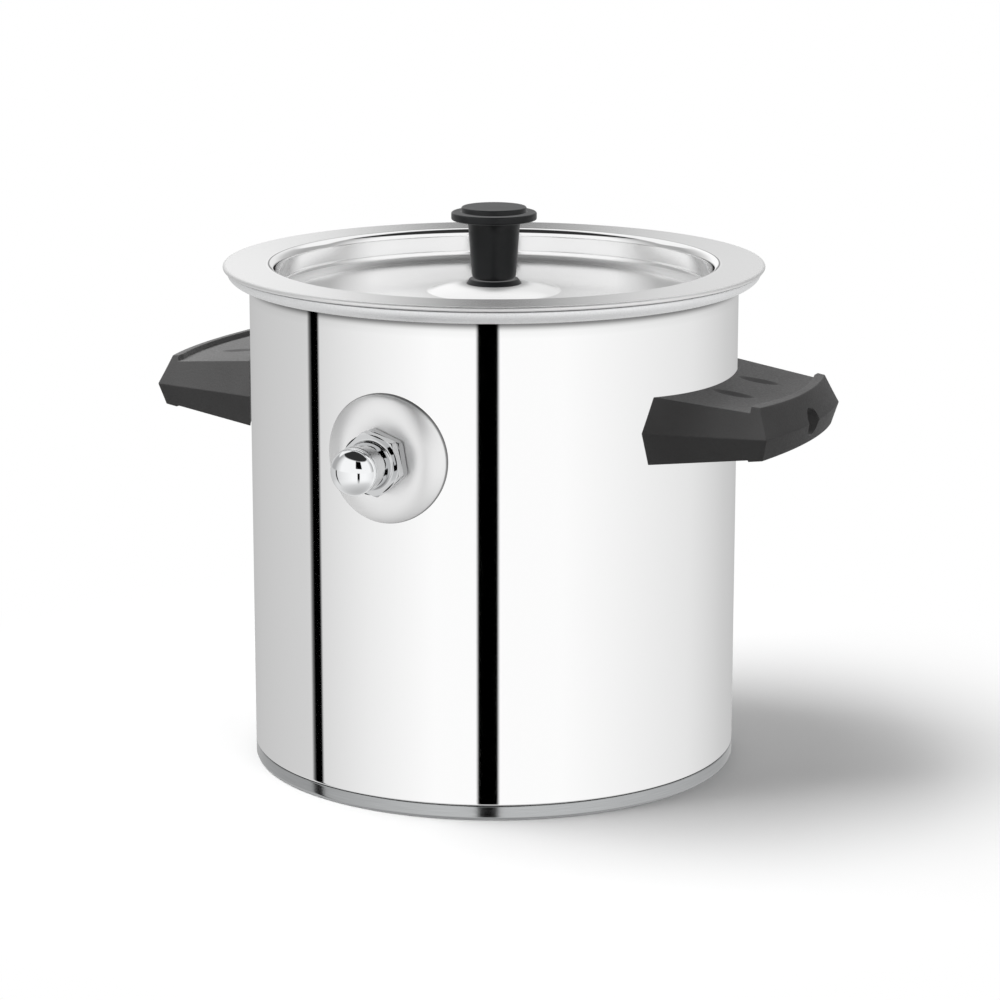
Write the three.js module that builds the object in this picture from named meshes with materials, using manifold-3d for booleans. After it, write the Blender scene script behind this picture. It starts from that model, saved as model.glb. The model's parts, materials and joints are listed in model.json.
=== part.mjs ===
// Milk boiler: a double-walled steel pot with a water jacket, a screw-on whistle on the jacket's
// filling port, two moulded side handles and a dished lid with a knob.
// Millimetres, +Z up. The origin is the middle of the underside. The port faces -Y, the handles +X and -X.
import * as THREE from "three";
import { mergeVertices } from "three/addons/utils/BufferGeometryUtils.js";
import Module from "manifold-3d";

// Sheet and fits
const SHEET = 0.6; // steel of the shell, the pot, the lid and the pressed cover plate
const SEAT_GAP = 0.3; // between pieces that bear on each other
const THREAD_GAP = 0.2; // between a screw thread and its nut, on the radius
const PASS_GAP = 0.4; // around a piece that passes through a hole, on the radius

// Shell and base
const BODY_RADIUS = 75;
const BODY_HEIGHT = 149.6; // up to the underside of the rim bead
const BAND_HEIGHT = 4.3; // base capsule
const BASE_EDGE = 1; // outside rounding of the two bottoms

// Milk pot
const JACKET_SIDE = 5.6; // water space between the walls
const JACKET_FLOOR = 8; // water space between the bottoms
const POT_CORNER = 8;
const POT_LIP = 1.5; // rounding from the pot's wall into its flange
const RIM_REACH = 6.8; // rolled bead under the flange, outwards from the wall
const RIM_DEPTH = 3; // the same bead, from its widest place to its underside
const RIM_EDGE = 0.7; // rounding on top of the bead

// Lid
const LID_OVERHANG = 1.2; // past the rim bead
const HEM_HEIGHT = 1.4;
const HEM_WIDTH = 2.6;
const LID_PLAY = 0.5; // between the lid's dish and the pot's wall
const DISH_DEPTH = 10;
const DISH_FILLET = 3;
const DISH_LIP = 1.2;
const CROWN_RADIUS = 50; // low dome of the dish floor
const CROWN_HEIGHT = 1.2;
const BOSS_RADIUS = 20; // steeper boss under the knob
const BOSS_HEIGHT = 2;

// Knob
const COLLAR_RADIUS = 8.6;
const COLLAR_TOP_RADIUS = 7.5;
const COLLAR_HEIGHT = 1.5;
const KNOB_BASE_RADIUS = 6.1;
const KNOB_FOOT_RADIUS = 6.95;
const KNOB_FOOT_HEIGHT = 3; // from the base to the thickest place of the foot
const KNOB_STEM_RADIUS = 7.75;
const KNOB_STEM_HEIGHT = 11; // from the foot to the start of the flare
const KNOB_NECK_RADIUS = 8.75;
const KNOB_NECK_HEIGHT = 4.2; // flare under the flange
const KNOB_FLANGE_RADIUS = 13.1;
const KNOB_FLANGE_HEIGHT = 2.4;
const KNOB_TOP_RADIUS = 10;
const KNOB_TOP_HEIGHT = 1.6;
const INSERT_RADIUS = 3.5;
const INSERT_LENGTH = 11;

// Screws and washers of the knob and the handles
const SCREW_RADIUS = 2;
const SCREW_LENGTH = 12;
const HEAD_RADIUS = 3.5;
const HEAD_HEIGHT = 2.4;
const SLOT_WIDTH = 1;
const SLOT_DEPTH = 1.2;
const WASHER_RADIUS = 3.9;
const WASHER_THICKNESS = 0.8;

// Handles, measured from their widest line
const HANDLE_HEIGHT = 114; // of the widest line above the underside
const HANDLE_LENGTH = 26.5; // from the wall to the corners of the end
const HANDLE_END_WIDTH = 63;
const HANDLE_TAPER = 10; // degrees, each side
const HANDLE_BULGE = 3.5; // how far the end curves out past its corners
const HANDLE_ROOT_RISE = 9.5;
const HANDLE_ROOT_DROP = 8.8;
const HANDLE_END_RISE = 6.5;
const HANDLE_END_DROP = 6;
const HANDLE_TOP_INSET = 3.5; // top edge behind the widest line
const HANDLE_BOTTOM_INSET = 1.8;
const LIP_WIDTH = 2.5; // raised rib along the end
const LIP_HEIGHT = 1.8;
const TOE_HEIGHT = 0.5; // the end's wall below the underside
const GROOVE_LENGTH = 14; // two shallow finger marks on the top
const GROOVE_WIDTH = 3.5;
const GROOVE_DEPTH = 1;
const GROOVE_SPACING = 22;
const GROOVE_START = 8; // from the wall to the middle of a mark
const HANDLE_HOLE_RADIUS = 4.25;
const HANDLE_SEAT_WALL = 3; // clamped by the screw
const BRACKET_RADIUS = 7;
const BRACKET_FLANGE = 2;
const BRACKET_BOSS_RADIUS = 4.5;
const BRACKET_LENGTH = 11;

// Port, measured outwards from the pot's axis
const PORT_HEIGHT = 108;
const NOZZLE_RADIUS = 5;
const NOZZLE_BORE = 3.2;
const NOZZLE_REACH = 6.8; // past the lock nut
const NOZZLE_FLANGE_RADIUS = 8.5;
const NOZZLE_FLANGE_THICKNESS = 1.5;
const GASKET_THICKNESS = 1.2;
const PLATE_RADIUS = 19.25;
const PLATE_FLAT_RADIUS = 11;
const PLATE_HEIGHT = 2.8;
const HEX_FLATS = 17;
const LOCK_NUT_HEIGHT = 2.8;
const LOCK_NUT_TURN = 10; // degrees from a corner at the top

// Whistle
const WHISTLE_HEX_HEIGHT = 3.2;
const WHISTLE_HEX_TURN = 14; // degrees from a corner at the top
const WHISTLE_LENGTH = 12; // hexagon and barrel
const BARREL_RADIUS = 6.9;
const BARREL_WALL = 0.75; // around the discs
const SEAL_RADIUS = 6.6;
const SEAL_THICKNESS = 1.5;
const TIP_GAP = 0.9; // between the nozzle's tip and the disc seat
const DISC_THICKNESS = 0.5;
const DISC_SPACING = 1.9; // from face to face
const DISC_RIM = 0.8;
const DISC_HOLE = 1.2;
const CAP_LENGTH = 6;
const CAP_SKIRT = 1.2; // straight part below the dome
const CAP_WALL = 1.8;
const STEAM_HOLE = 1.1;

// Facets
const ROUND_SIDES = 48;
const PLATE_SIDES = 32;
const SMALL_SIDES = 16;
const ARC_STEPS = 3;
const HALF_ARC_STEPS = 2; // of a small rounding
const BEAD_STEPS = 5;
const DOME_STEPS = 6;
const HEM_STEPS = 4;
const CROWN_STEPS = 3;
const END_STEPS = 8;
const WELD = 1e-4; // points closer than this are one point

// Derived places
const SHELL_INSIDE = BODY_RADIUS - SHEET;
const SHELL_FLOOR = BAND_HEIGHT + SHEET;
const POT_RADIUS = SHELL_INSIDE - JACKET_SIDE - SHEET;
const POT_FLOOR = SHELL_FLOOR + JACKET_FLOOR + SHEET;
const RIM_MIDDLE = BODY_HEIGHT + RIM_DEPTH;
const RIM_TOP = RIM_MIDDLE + RIM_EDGE;
const RIM_RADIUS = BODY_RADIUS + RIM_REACH;
const SHELL_TOP = RIM_TOP - SHEET - SEAT_GAP;
const LID_TOP = RIM_TOP + SEAT_GAP + HEM_HEIGHT;
const LID_RADIUS = RIM_RADIUS + LID_OVERHANG;
const DISH_RADIUS = POT_RADIUS - LID_PLAY - SHEET;
const DISH_FLOOR = LID_TOP - DISH_DEPTH;
const KNOB_SEAT = DISH_FLOOR + CROWN_HEIGHT + BOSS_HEIGHT;
const KNOB_SEAT_RADIUS = COLLAR_RADIUS + PASS_GAP;
const HANDLE_START = BODY_RADIUS / 2; // hidden start of a handle, cut away by the wall
const SCREW_PASS = SCREW_RADIUS + PASS_GAP;
const SCREW_BORE = SCREW_RADIUS + THREAD_GAP;
const NOZZLE_PASS = NOZZLE_RADIUS + PASS_GAP;
const NOZZLE_THREAD = NOZZLE_RADIUS + THREAD_GAP;
const NUT_FOOT = BODY_RADIUS + SEAT_GAP + PLATE_HEIGHT + SEAT_GAP;
const WHISTLE_FOOT = NUT_FOOT + LOCK_NUT_HEIGHT + SEAT_GAP;
const WHISTLE_TOP = WHISTLE_FOOT + WHISTLE_LENGTH;
const NOZZLE_TIP = WHISTLE_FOOT + NOZZLE_REACH;
const DISC_SEAT = NOZZLE_TIP + TIP_GAP;
const DISC_BORE = BARREL_RADIUS - BARREL_WALL;
const DISC_RADIUS = DISC_BORE - SEAT_GAP;

const STEEL = { color: 0xdfe2e4, metalness: 1, roughness: 0.12 };
const SATIN = { color: 0xc4c8ca, metalness: 1, roughness: 0.35 };
const ALUMINIUM = { color: 0xb9bcbe, metalness: 1, roughness: 0.45 };
const BRASS = { color: 0xb8964f, metalness: 1, roughness: 0.35 };
const BAKELITE = { color: 0x3a3a3a, metalness: 0, roughness: 0.6 };
const KNOB_BLACK = { color: 0x1c1f21, metalness: 0, roughness: 0.4 };
const RUBBER = { color: 0x26221f, metalness: 0, roughness: 0.8 };

const wasm = await Module();
wasm.setup();

const point = (x, y) => new THREE.Vector2(x, y);

// A closed geometry as a solid that can be joined and cut.
function toSolid(geometry) {
  const loose = geometry.index ? geometry.toNonIndexed() : geometry;
  const bare = new THREE.BufferGeometry().setAttribute("position", loose.getAttribute("position"));
  const welded = mergeVertices(bare, WELD);
  const corners = welded.index.array;
  const triVerts = [];
  for (let i = 0; i < corners.length; i += 3) {
    const [a, b, c] = [corners[i], corners[i + 1], corners[i + 2]];
    if (a !== b && b !== c && c !== a) triVerts.push(a, b, c);
  }
  return new wasm.Manifold(
    new wasm.Mesh({
      numProp: 3,
      vertProperties: welded.getAttribute("position").array,
      triVerts: new Uint32Array(triVerts),
    }),
  );
}

function toGeometry(solid) {
  const { vertProperties, triVerts } = solid.getMesh();
  const geometry = new THREE.BufferGeometry();
  geometry.setAttribute("position", new THREE.BufferAttribute(vertProperties, 3));
  geometry.setIndex(new THREE.BufferAttribute(triVerts, 1));
  geometry.computeVertexNormals();
  return geometry;
}

const cut = (from, ...tools) =>
  toGeometry(tools.reduce((rest, tool) => rest.subtract(toSolid(tool)), toSolid(from)));
const join = (first, second) => toGeometry(toSolid(first).add(toSolid(second)));
const common = (first, second) => toGeometry(toSolid(first).intersect(toSolid(second)));

// Points on an ellipse from one angle to another, in degrees.
function arc(x, y, radiusX, radiusY, from, to, steps = ARC_STEPS) {
  return Array.from({ length: steps + 1 }, (_, i) => {
    const angle = THREE.MathUtils.degToRad(from + ((to - from) * i) / steps);
    return point(x + radiusX * Math.cos(angle), y + radiusY * Math.sin(angle));
  });
}

// The profile of a pressed sheet: its visible line, and the same line moved left by its thickness.
function sheet(line, thickness) {
  const heading = (from, to) => to.clone().sub(from).normalize();
  const back = line.map((here, i) => {
    const ahead = heading(line[Math.min(i, line.length - 2)], line[Math.min(i + 1, line.length - 1)]);
    const behind = i > 0 ? heading(line[i - 1], here) : ahead;
    const middle = ahead.clone().add(behind).normalize();
    const step = thickness / middle.dot(ahead);
    return point(here.x - middle.y * step, here.y + middle.x * step);
  });
  return [...line, ...back.reverse()];
}

// A profile of radius and height turned about Y, and the same turned about Z.
function lathe(profile, sides) {
  const outline = THREE.ShapeUtils.isClockWise(profile) ? [...profile].reverse() : profile;
  return new THREE.LatheGeometry([...outline, outline[0]], sides);
}

const turned = (profile, sides = SMALL_SIDES) => lathe(profile, sides).rotateX(Math.PI / 2);

const tube = (inner, outer, bottom, top, sides) =>
  turned([point(inner, bottom), point(outer, bottom), point(outer, top), point(inner, top)], sides);

const rod = (radius, bottom, top, sides) => tube(0, radius, bottom, top, sides);

const outwards = (geometry) => geometry.rotateY(Math.PI / 2); // from +Z to +X

function piece(name, geometry, finish) {
  const mesh = new THREE.Mesh(geometry, new THREE.MeshStandardMaterial(finish));
  mesh.name = name;
  return mesh;
}

// A bottom with a rounded corner that turns up into a wall, seen from outside.
function panLine(floor, top) {
  const corner = BODY_RADIUS - BASE_EDGE;
  return [
    point(0, floor),
    ...arc(corner, floor + BASE_EDGE, BASE_EDGE, BASE_EDGE, -90, 0),
    point(BODY_RADIUS, top),
  ];
}

function baseCap() {
  return turned(sheet(panLine(0, BAND_HEIGHT), SHEET), ROUND_SIDES);
}

// A disc that stays clear of the cap's wall and of its rounded corner.
function baseCore() {
  const flat = Math.min(SHELL_INSIDE, BODY_RADIUS - BASE_EDGE);
  return rod(flat - SEAT_GAP, SHEET, BAND_HEIGHT, ROUND_SIDES);
}

function outerShell() {
  const pan = turned(sheet(panLine(BAND_HEIGHT, SHELL_TOP), SHEET), ROUND_SIDES);
  const drill = rod(NOZZLE_PASS, 0, BODY_RADIUS + SHEET).rotateX(Math.PI / 2);
  return cut(pan, drill.translate(0, 0, PORT_HEIGHT));
}

// From the middle of the pot's floor, up its wall, over the flange and round the bead to the shell.
function innerPot() {
  const lip = POT_RADIUS + POT_LIP;
  const beadEnd = -THREE.MathUtils.radToDeg(Math.acos(PASS_GAP / RIM_REACH));
  const line = [
    point(0, POT_FLOOR),
    ...arc(POT_RADIUS - POT_CORNER, POT_FLOOR + POT_CORNER, POT_CORNER, POT_CORNER, -90, 0),
    ...arc(lip, RIM_TOP - POT_LIP, POT_LIP, POT_LIP, 180, 90, HALF_ARC_STEPS),
    ...arc(RIM_RADIUS - RIM_EDGE, RIM_MIDDLE, RIM_EDGE, RIM_EDGE, 90, 0, HALF_ARC_STEPS),
    ...arc(BODY_RADIUS, RIM_MIDDLE, RIM_REACH, RIM_DEPTH, 0, beadEnd, BEAD_STEPS).slice(1),
  ];
  return turned(sheet(line.reverse(), SHEET), ROUND_SIDES);
}

// How far the dish floor rises at a distance from the lid's middle.
function crownRise(radius) {
  const fall = (reach) => {
    const share = (radius - KNOB_SEAT_RADIUS) / (reach - KNOB_SEAT_RADIUS);
    return (1 + Math.cos(Math.PI * THREE.MathUtils.clamp(share, 0, 1))) / 2;
  };
  return CROWN_HEIGHT * fall(CROWN_RADIUS) + BOSS_HEIGHT * fall(BOSS_RADIUS);
}

// From the hole in the middle, down the boss, up the dish wall, along the flange and round the hem.
function lidPan() {
  const between = (from, to) =>
    Array.from({ length: CROWN_STEPS }, (_, i) => from + ((to - from) * i) / CROWN_STEPS);
  const radii = [
    SCREW_PASS,
    ...between(KNOB_SEAT_RADIUS, BOSS_RADIUS),
    ...between(BOSS_RADIUS, CROWN_RADIUS),
    CROWN_RADIUS,
  ];
  const fillet = DISH_RADIUS - DISH_FILLET;
  const hem = HEM_HEIGHT / 2;
  const line = [
    ...radii.map((radius) => point(radius, DISH_FLOOR + crownRise(radius))),
    ...arc(fillet, DISH_FLOOR + DISH_FILLET, DISH_FILLET, DISH_FILLET, -90, 0),
    ...arc(DISH_RADIUS + DISH_LIP, LID_TOP - DISH_LIP, DISH_LIP, DISH_LIP, 180, 90, HALF_ARC_STEPS),
    ...arc(LID_RADIUS - hem, LID_TOP - hem, hem, hem, 90, -90, HEM_STEPS),
    point(LID_RADIUS - HEM_WIDTH, LID_TOP - HEM_HEIGHT),
  ];
  return turned(sheet(line.reverse(), SHEET), ROUND_SIDES);
}

function knobCollar() {
  return turned([
    point(SCREW_PASS, 0),
    point(COLLAR_RADIUS, 0),
    point(COLLAR_TOP_RADIUS, COLLAR_HEIGHT),
    point(SCREW_PASS, COLLAR_HEIGHT),
  ]);
}

function lidKnob() {
  const stem = KNOB_FOOT_HEIGHT + KNOB_STEM_HEIGHT;
  const flange = stem + KNOB_NECK_HEIGHT;
  const disc = flange + KNOB_FLANGE_HEIGHT;
  const foot = KNOB_FOOT_RADIUS - KNOB_BASE_RADIUS;
  const flare = KNOB_NECK_RADIUS - KNOB_STEM_RADIUS;
  const socket = INSERT_RADIUS + SEAT_GAP;
  const body = turned([
    point(0, 0),
    ...arc(KNOB_BASE_RADIUS, KNOB_FOOT_HEIGHT, foot, KNOB_FOOT_HEIGHT, -90, 0),
    ...arc(KNOB_NECK_RADIUS, stem, flare, KNOB_NECK_HEIGHT, 180, 90),
    point(KNOB_FLANGE_RADIUS, flange),
    point(KNOB_FLANGE_RADIUS, disc),
    point(KNOB_TOP_RADIUS, disc),
    point(KNOB_TOP_RADIUS, disc + KNOB_TOP_HEIGHT),
    point(0, disc + KNOB_TOP_HEIGHT),
  ]);
  return cut(body, rod(socket, -SEAT_GAP, SEAT_GAP + INSERT_LENGTH + SEAT_GAP));
}

// A slotted screw with its head on top of the height 0 and its shank below.
function slottedScrew() {
  const body = turned([
    point(0, -SCREW_LENGTH),
    point(SCREW_RADIUS, -SCREW_LENGTH),
    point(SCREW_RADIUS, 0),
    point(HEAD_RADIUS, 0),
    point(HEAD_RADIUS, HEAD_HEIGHT),
    point(0, HEAD_HEIGHT),
  ]);
  const slot = new THREE.BoxGeometry(2 * WASHER_RADIUS, SLOT_WIDTH, 2 * SLOT_DEPTH);
  return cut(body, slot.translate(0, 0, HEAD_HEIGHT));
}

const washer = () => tube(SCREW_PASS, WASHER_RADIUS, 0, WASHER_THICKNESS);

// The bowed end of a handle, from corner to corner, moved in from the widest line.
function handleEnd(inset) {
  const corner = BODY_RADIUS + HANDLE_LENGTH - inset;
  const half = HANDLE_END_WIDTH / 2 - inset;
  const radius = (half * half + HANDLE_BULGE * HANDLE_BULGE) / (2 * HANDLE_BULGE);
  const spread = THREE.MathUtils.radToDeg(Math.asin(half / radius));
  return arc(corner + HANDLE_BULGE - radius, 0, radius, radius, -spread, spread, END_STEPS);
}

const atHeight = (outline, heightAt) => outline.map(({ x, y }) => new THREE.Vector3(x, y, heightAt(x)));

// One level of a handle: straight sides that draw in to a bowed end. It starts inside the pot's wall.
function handleLevel(inset, heightAt) {
  const end = handleEnd(inset);
  const { x, y } = end.at(-1);
  const half = y + (x - HANDLE_START) * Math.tan(THREE.MathUtils.degToRad(HANDLE_TAPER));
  return atHeight([point(HANDLE_START, -half), ...end, point(HANDLE_START, half)], heightAt);
}

// Walls between levels of equally many points, closed by the lowest and the highest level.
function loft(levels) {
  const count = levels[0].length;
  const index = [];
  for (let level = 0; level + 1 < levels.length; level += 1) {
    for (let i = 0; i < count; i += 1) {
      const here = level * count + i;
      const next = level * count + ((i + 1) % count);
      index.push(here, next, next + count, here, next + count, here + count);
    }
  }
  const top = (levels.length - 1) * count;
  const flat = levels[0].map(({ x, y }) => point(x, y));
  for (const [a, b, c] of THREE.ShapeUtils.triangulateShape(flat, [])) {
    index.push(c, b, a, top + a, top + b, top + c);
  }
  const geometry = new THREE.BufferGeometry().setFromPoints(levels.flat());
  return geometry.setIndex(index);
}

// The straight line through a height at the wall and a height at the end of a handle.
const handleSlope = (root, end) => (x) => root + ((end - root) * (x - BODY_RADIUS)) / HANDLE_LENGTH;

// A wide block behind the rib of the end, which takes the top down or the underside up.
function handleRelief(bottomAt, topAt) {
  const end = handleEnd(HANDLE_TOP_INSET + LIP_WIDTH);
  const { x } = end[0];
  const outline = [
    point(HANDLE_START, -HANDLE_END_WIDTH),
    point(x, -HANDLE_END_WIDTH),
    ...end,
    point(x, HANDLE_END_WIDTH),
    point(HANDLE_START, HANDLE_END_WIDTH),
  ];
  return loft([atHeight(outline, bottomAt), atHeight(outline, topAt)]);
}

function fingerMark(side, topAt) {
  const x = BODY_RADIUS + GROOVE_START;
  return new THREE.SphereGeometry(1, SMALL_SIDES, DOME_STEPS)
    .scale(GROOVE_LENGTH / 2, GROOVE_WIDTH / 2, GROOVE_DEPTH)
    .translate(x, (side * GROOVE_SPACING) / 2, topAt(x));
}

function handleBody() {
  const topAt = handleSlope(HANDLE_ROOT_RISE, HANDLE_END_RISE);
  const undersideAt = handleSlope(-HANDLE_ROOT_DROP, -HANDLE_END_DROP);
  const block = loft([
    handleLevel(HANDLE_BOTTOM_INSET, (x) => undersideAt(x) - TOE_HEIGHT),
    handleLevel(0, () => 0),
    handleLevel(HANDLE_TOP_INSET, (x) => topAt(x) + LIP_HEIGHT),
  ]);
  const seat = BODY_RADIUS + BRACKET_LENGTH + SEAT_GAP;
  const far = BODY_RADIUS + HANDLE_LENGTH + HANDLE_BULGE + LIP_WIDTH;
  return cut(
    block,
    handleRelief(topAt, (x) => topAt(x) + HANDLE_ROOT_RISE),
    handleRelief((x) => undersideAt(x) - HANDLE_ROOT_DROP, undersideAt),
    fingerMark(1, topAt),
    fingerMark(-1, topAt),
    rod(BODY_RADIUS + SEAT_GAP, -2 * HANDLE_ROOT_DROP, 2 * HANDLE_ROOT_RISE, ROUND_SIDES),
    outwards(rod(BRACKET_RADIUS + SEAT_GAP, 0, BODY_RADIUS + BRACKET_FLANGE + SEAT_GAP)),
    outwards(rod(BRACKET_BOSS_RADIUS + SEAT_GAP, 0, seat)),
    outwards(rod(SCREW_PASS, 0, far)),
    outwards(rod(HANDLE_HOLE_RADIUS, seat + HANDLE_SEAT_WALL, far)),
  );
}

function handleBracket() {
  const flange = BODY_RADIUS + BRACKET_FLANGE;
  const body = turned([
    point(0, SHELL_INSIDE / 2),
    point(BRACKET_RADIUS, SHELL_INSIDE / 2),
    point(BRACKET_RADIUS, flange),
    point(BRACKET_BOSS_RADIUS, flange),
    point(BRACKET_BOSS_RADIUS, BODY_RADIUS + BRACKET_LENGTH),
    point(SCREW_BORE, BODY_RADIUS + BRACKET_LENGTH),
    point(SCREW_BORE, flange),
    point(0, flange),
  ]);
  const wall = rod(BODY_RADIUS + SEAT_GAP, -2 * BRACKET_RADIUS, 2 * BRACKET_RADIUS, ROUND_SIDES);
  return cut(outwards(body), wall);
}

function handleGroup(side, turn) {
  const group = new THREE.Group();
  group.position.z = HANDLE_HEIGHT;
  group.rotation.z = turn;
  const washerFoot = BODY_RADIUS + BRACKET_LENGTH + SEAT_GAP + HANDLE_SEAT_WALL + SEAT_GAP;
  const headFoot = washerFoot + WASHER_THICKNESS + SEAT_GAP;
  group.add(
    piece(`handle_${side}`, handleBody(), BAKELITE),
    piece(`handle_bracket_${side}`, handleBracket(), SATIN),
    piece(`handle_washer_${side}`, outwards(washer()).translate(washerFoot, 0, 0), SATIN),
    piece(`handle_screw_${side}`, outwards(slottedScrew()).translate(headFoot, 0, 0), SATIN),
  );
  return group;
}

// A hexagon prism on the height 0 with its corners chamfered at both ends.
function hexagon(height, turn) {
  const corner = HEX_FLATS / 2 / Math.cos(Math.PI / 6);
  const face = (HEX_FLATS / 2 + corner) / 2;
  const chamfer = (corner - face) / 2;
  const prism = new THREE.CylinderGeometry(corner, corner, height, 6).rotateX(Math.PI / 2);
  const profile = [
    point(0, 0),
    point(face, 0),
    point(corner + chamfer, 2 * chamfer),
    point(corner + chamfer, height - 2 * chamfer),
    point(face, height),
    point(0, height),
  ];
  prism.rotateZ(THREE.MathUtils.degToRad(turn)).translate(0, 0, height / 2);
  return common(prism, turned(profile, PLATE_SIDES));
}

function inletNozzle(flangeFoot) {
  const flangeTop = flangeFoot + NOZZLE_FLANGE_THICKNESS;
  return turned([
    point(NOZZLE_BORE, flangeFoot),
    point(NOZZLE_FLANGE_RADIUS, flangeFoot),
    point(NOZZLE_FLANGE_RADIUS, flangeTop),
    point(NOZZLE_RADIUS, flangeTop),
    point(NOZZLE_RADIUS, NOZZLE_TIP),
    point(NOZZLE_BORE, NOZZLE_TIP),
  ]);
}

// A soft ring with a flat inner face and an outer face that follows the shell's inside.
function nozzleGasket(foot) {
  const ring = tube(NOZZLE_PASS, NOZZLE_FLANGE_RADIUS, foot, BODY_RADIUS);
  const reach = 2 * NOZZLE_FLANGE_RADIUS;
  const inside = SHELL_INSIDE - SEAT_GAP;
  const profile = [point(0, -reach), point(inside, -reach), point(inside, reach), point(0, reach)];
  return common(ring, lathe(profile, ROUND_SIDES));
}

// A domed plate whose rim is pressed to follow the round wall, while its middle stays flat.
function escutcheon() {
  const dome = arc(PLATE_FLAT_RADIUS, 0, PLATE_RADIUS - PLATE_FLAT_RADIUS, PLATE_HEIGHT, 0, 90, DOME_STEPS);
  const plate = turned(sheet([...dome, point(NOZZLE_PASS, PLATE_HEIGHT)], SHEET), PLATE_SIDES);
  const place = plate.getAttribute("position");
  for (let i = 0; i < place.count; i += 1) {
    const [x, y] = [place.getX(i), place.getY(i)];
    const drop = BODY_RADIUS - Math.sqrt(BODY_RADIUS * BODY_RADIUS - x * x);
    const share = THREE.MathUtils.smoothstep(Math.hypot(x, y), PLATE_FLAT_RADIUS, PLATE_RADIUS);
    place.setZ(i, place.getZ(i) + BODY_RADIUS + SEAT_GAP - drop * share);
  }
  return plate;
}

function whistleBody() {
  const barrel = rod(BARREL_RADIUS, WHISTLE_HEX_HEIGHT / 2, WHISTLE_LENGTH, PLATE_SIDES);
  const mouth = SEAL_THICKNESS + SEAT_GAP;
  const step = DISC_SEAT - WHISTLE_FOOT;
  const bore = turned([
    point(0, -SEAT_GAP),
    point(SEAL_RADIUS + SEAT_GAP, -SEAT_GAP),
    point(SEAL_RADIUS + SEAT_GAP, mouth),
    point(NOZZLE_THREAD, mouth),
    point(NOZZLE_THREAD, step),
    point(DISC_BORE, step),
    point(DISC_BORE, WHISTLE_LENGTH + SEAT_GAP),
    point(0, WHISTLE_LENGTH + SEAT_GAP),
  ]);
  return cut(join(hexagon(WHISTLE_HEX_HEIGHT, WHISTLE_HEX_TURN), barrel), bore);
}

// The lower disc is a shallow cup, and the upper one lies on its rim.
function discInner() {
  return turned([
    point(DISC_HOLE, 0),
    point(DISC_RADIUS, 0),
    point(DISC_RADIUS, DISC_SPACING),
    point(DISC_RADIUS - DISC_RIM, DISC_SPACING),
    point(DISC_RADIUS - DISC_RIM, DISC_THICKNESS),
    point(DISC_HOLE, DISC_THICKNESS),
  ]);
}

// A dome on a short skirt, with a spigot that holds the discs and a steam hole underneath.
function whistleCap(spigot) {
  const inside = BARREL_RADIUS - CAP_WALL;
  const dome = CAP_LENGTH - CAP_SKIRT;
  const profile = [
    point(inside, -spigot),
    point(DISC_RADIUS, -spigot),
    point(DISC_RADIUS, 0),
    point(BARREL_RADIUS, 0),
    ...arc(0, CAP_SKIRT, BARREL_RADIUS, dome, 0, 90, DOME_STEPS),
    ...arc(0, CAP_SKIRT, inside, dome - CAP_WALL, 90, 0),
  ];
  const body = turned(profile, PLATE_SIDES);
  const drill = rod(STEAM_HOLE, 0, 2 * BARREL_RADIUS).rotateX(Math.PI / 2);
  return cut(body, drill.translate(0, 0, CAP_SKIRT));
}

function portGroup() {
  const group = new THREE.Group();
  group.position.z = PORT_HEIGHT;
  group.rotation.x = Math.PI / 2;
  const inside = SHELL_INSIDE - SEAT_GAP;
  const sag = inside - Math.sqrt(inside ** 2 - NOZZLE_FLANGE_RADIUS ** 2);
  const gasketFoot = inside - sag - GASKET_THICKNESS;
  const flangeFoot = gasketFoot - SEAT_GAP - NOZZLE_FLANGE_THICKNESS;
  const nutBore = rod(NOZZLE_THREAD, -SEAT_GAP, LOCK_NUT_HEIGHT + SEAT_GAP);
  const lockNut = cut(hexagon(LOCK_NUT_HEIGHT, LOCK_NUT_TURN), nutBore);
  const seal = tube(NOZZLE_PASS, SEAL_RADIUS, 0, SEAL_THICKNESS);
  const innerFoot = DISC_SEAT + SEAT_GAP;
  const outerFoot = innerFoot + DISC_SPACING + SEAT_GAP;
  const outerDisc = tube(DISC_HOLE, DISC_RADIUS, 0, DISC_THICKNESS);
  const capFoot = WHISTLE_TOP + SEAT_GAP;
  const spigot = capFoot - outerFoot - DISC_THICKNESS - SEAT_GAP;
  group.add(
    piece("inlet_nozzle", inletNozzle(flangeFoot), BRASS),
    piece("nozzle_gasket", nozzleGasket(gasketFoot), RUBBER),
    piece("escutcheon", escutcheon(), STEEL),
    piece("lock_nut", lockNut.translate(0, 0, NUT_FOOT), STEEL),
    piece("whistle_gasket", seal.translate(0, 0, WHISTLE_FOOT), RUBBER),
    piece("whistle_body", whistleBody().translate(0, 0, WHISTLE_FOOT), STEEL),
    piece("whistle_disc_inner", discInner().translate(0, 0, innerFoot), BRASS),
    piece("whistle_disc_outer", outerDisc.translate(0, 0, outerFoot), BRASS),
    piece("whistle_cap", whistleCap(spigot).translate(0, 0, capFoot), STEEL),
  );
  return group;
}

function vesselGroup() {
  const group = new THREE.Group();
  group.add(
    piece("base_cap", baseCap(), SATIN),
    piece("base_core", baseCore(), ALUMINIUM),
    piece("outer_shell", outerShell(), STEEL),
    piece("inner_pot", innerPot(), SATIN),
  );
  return group;
}

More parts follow.
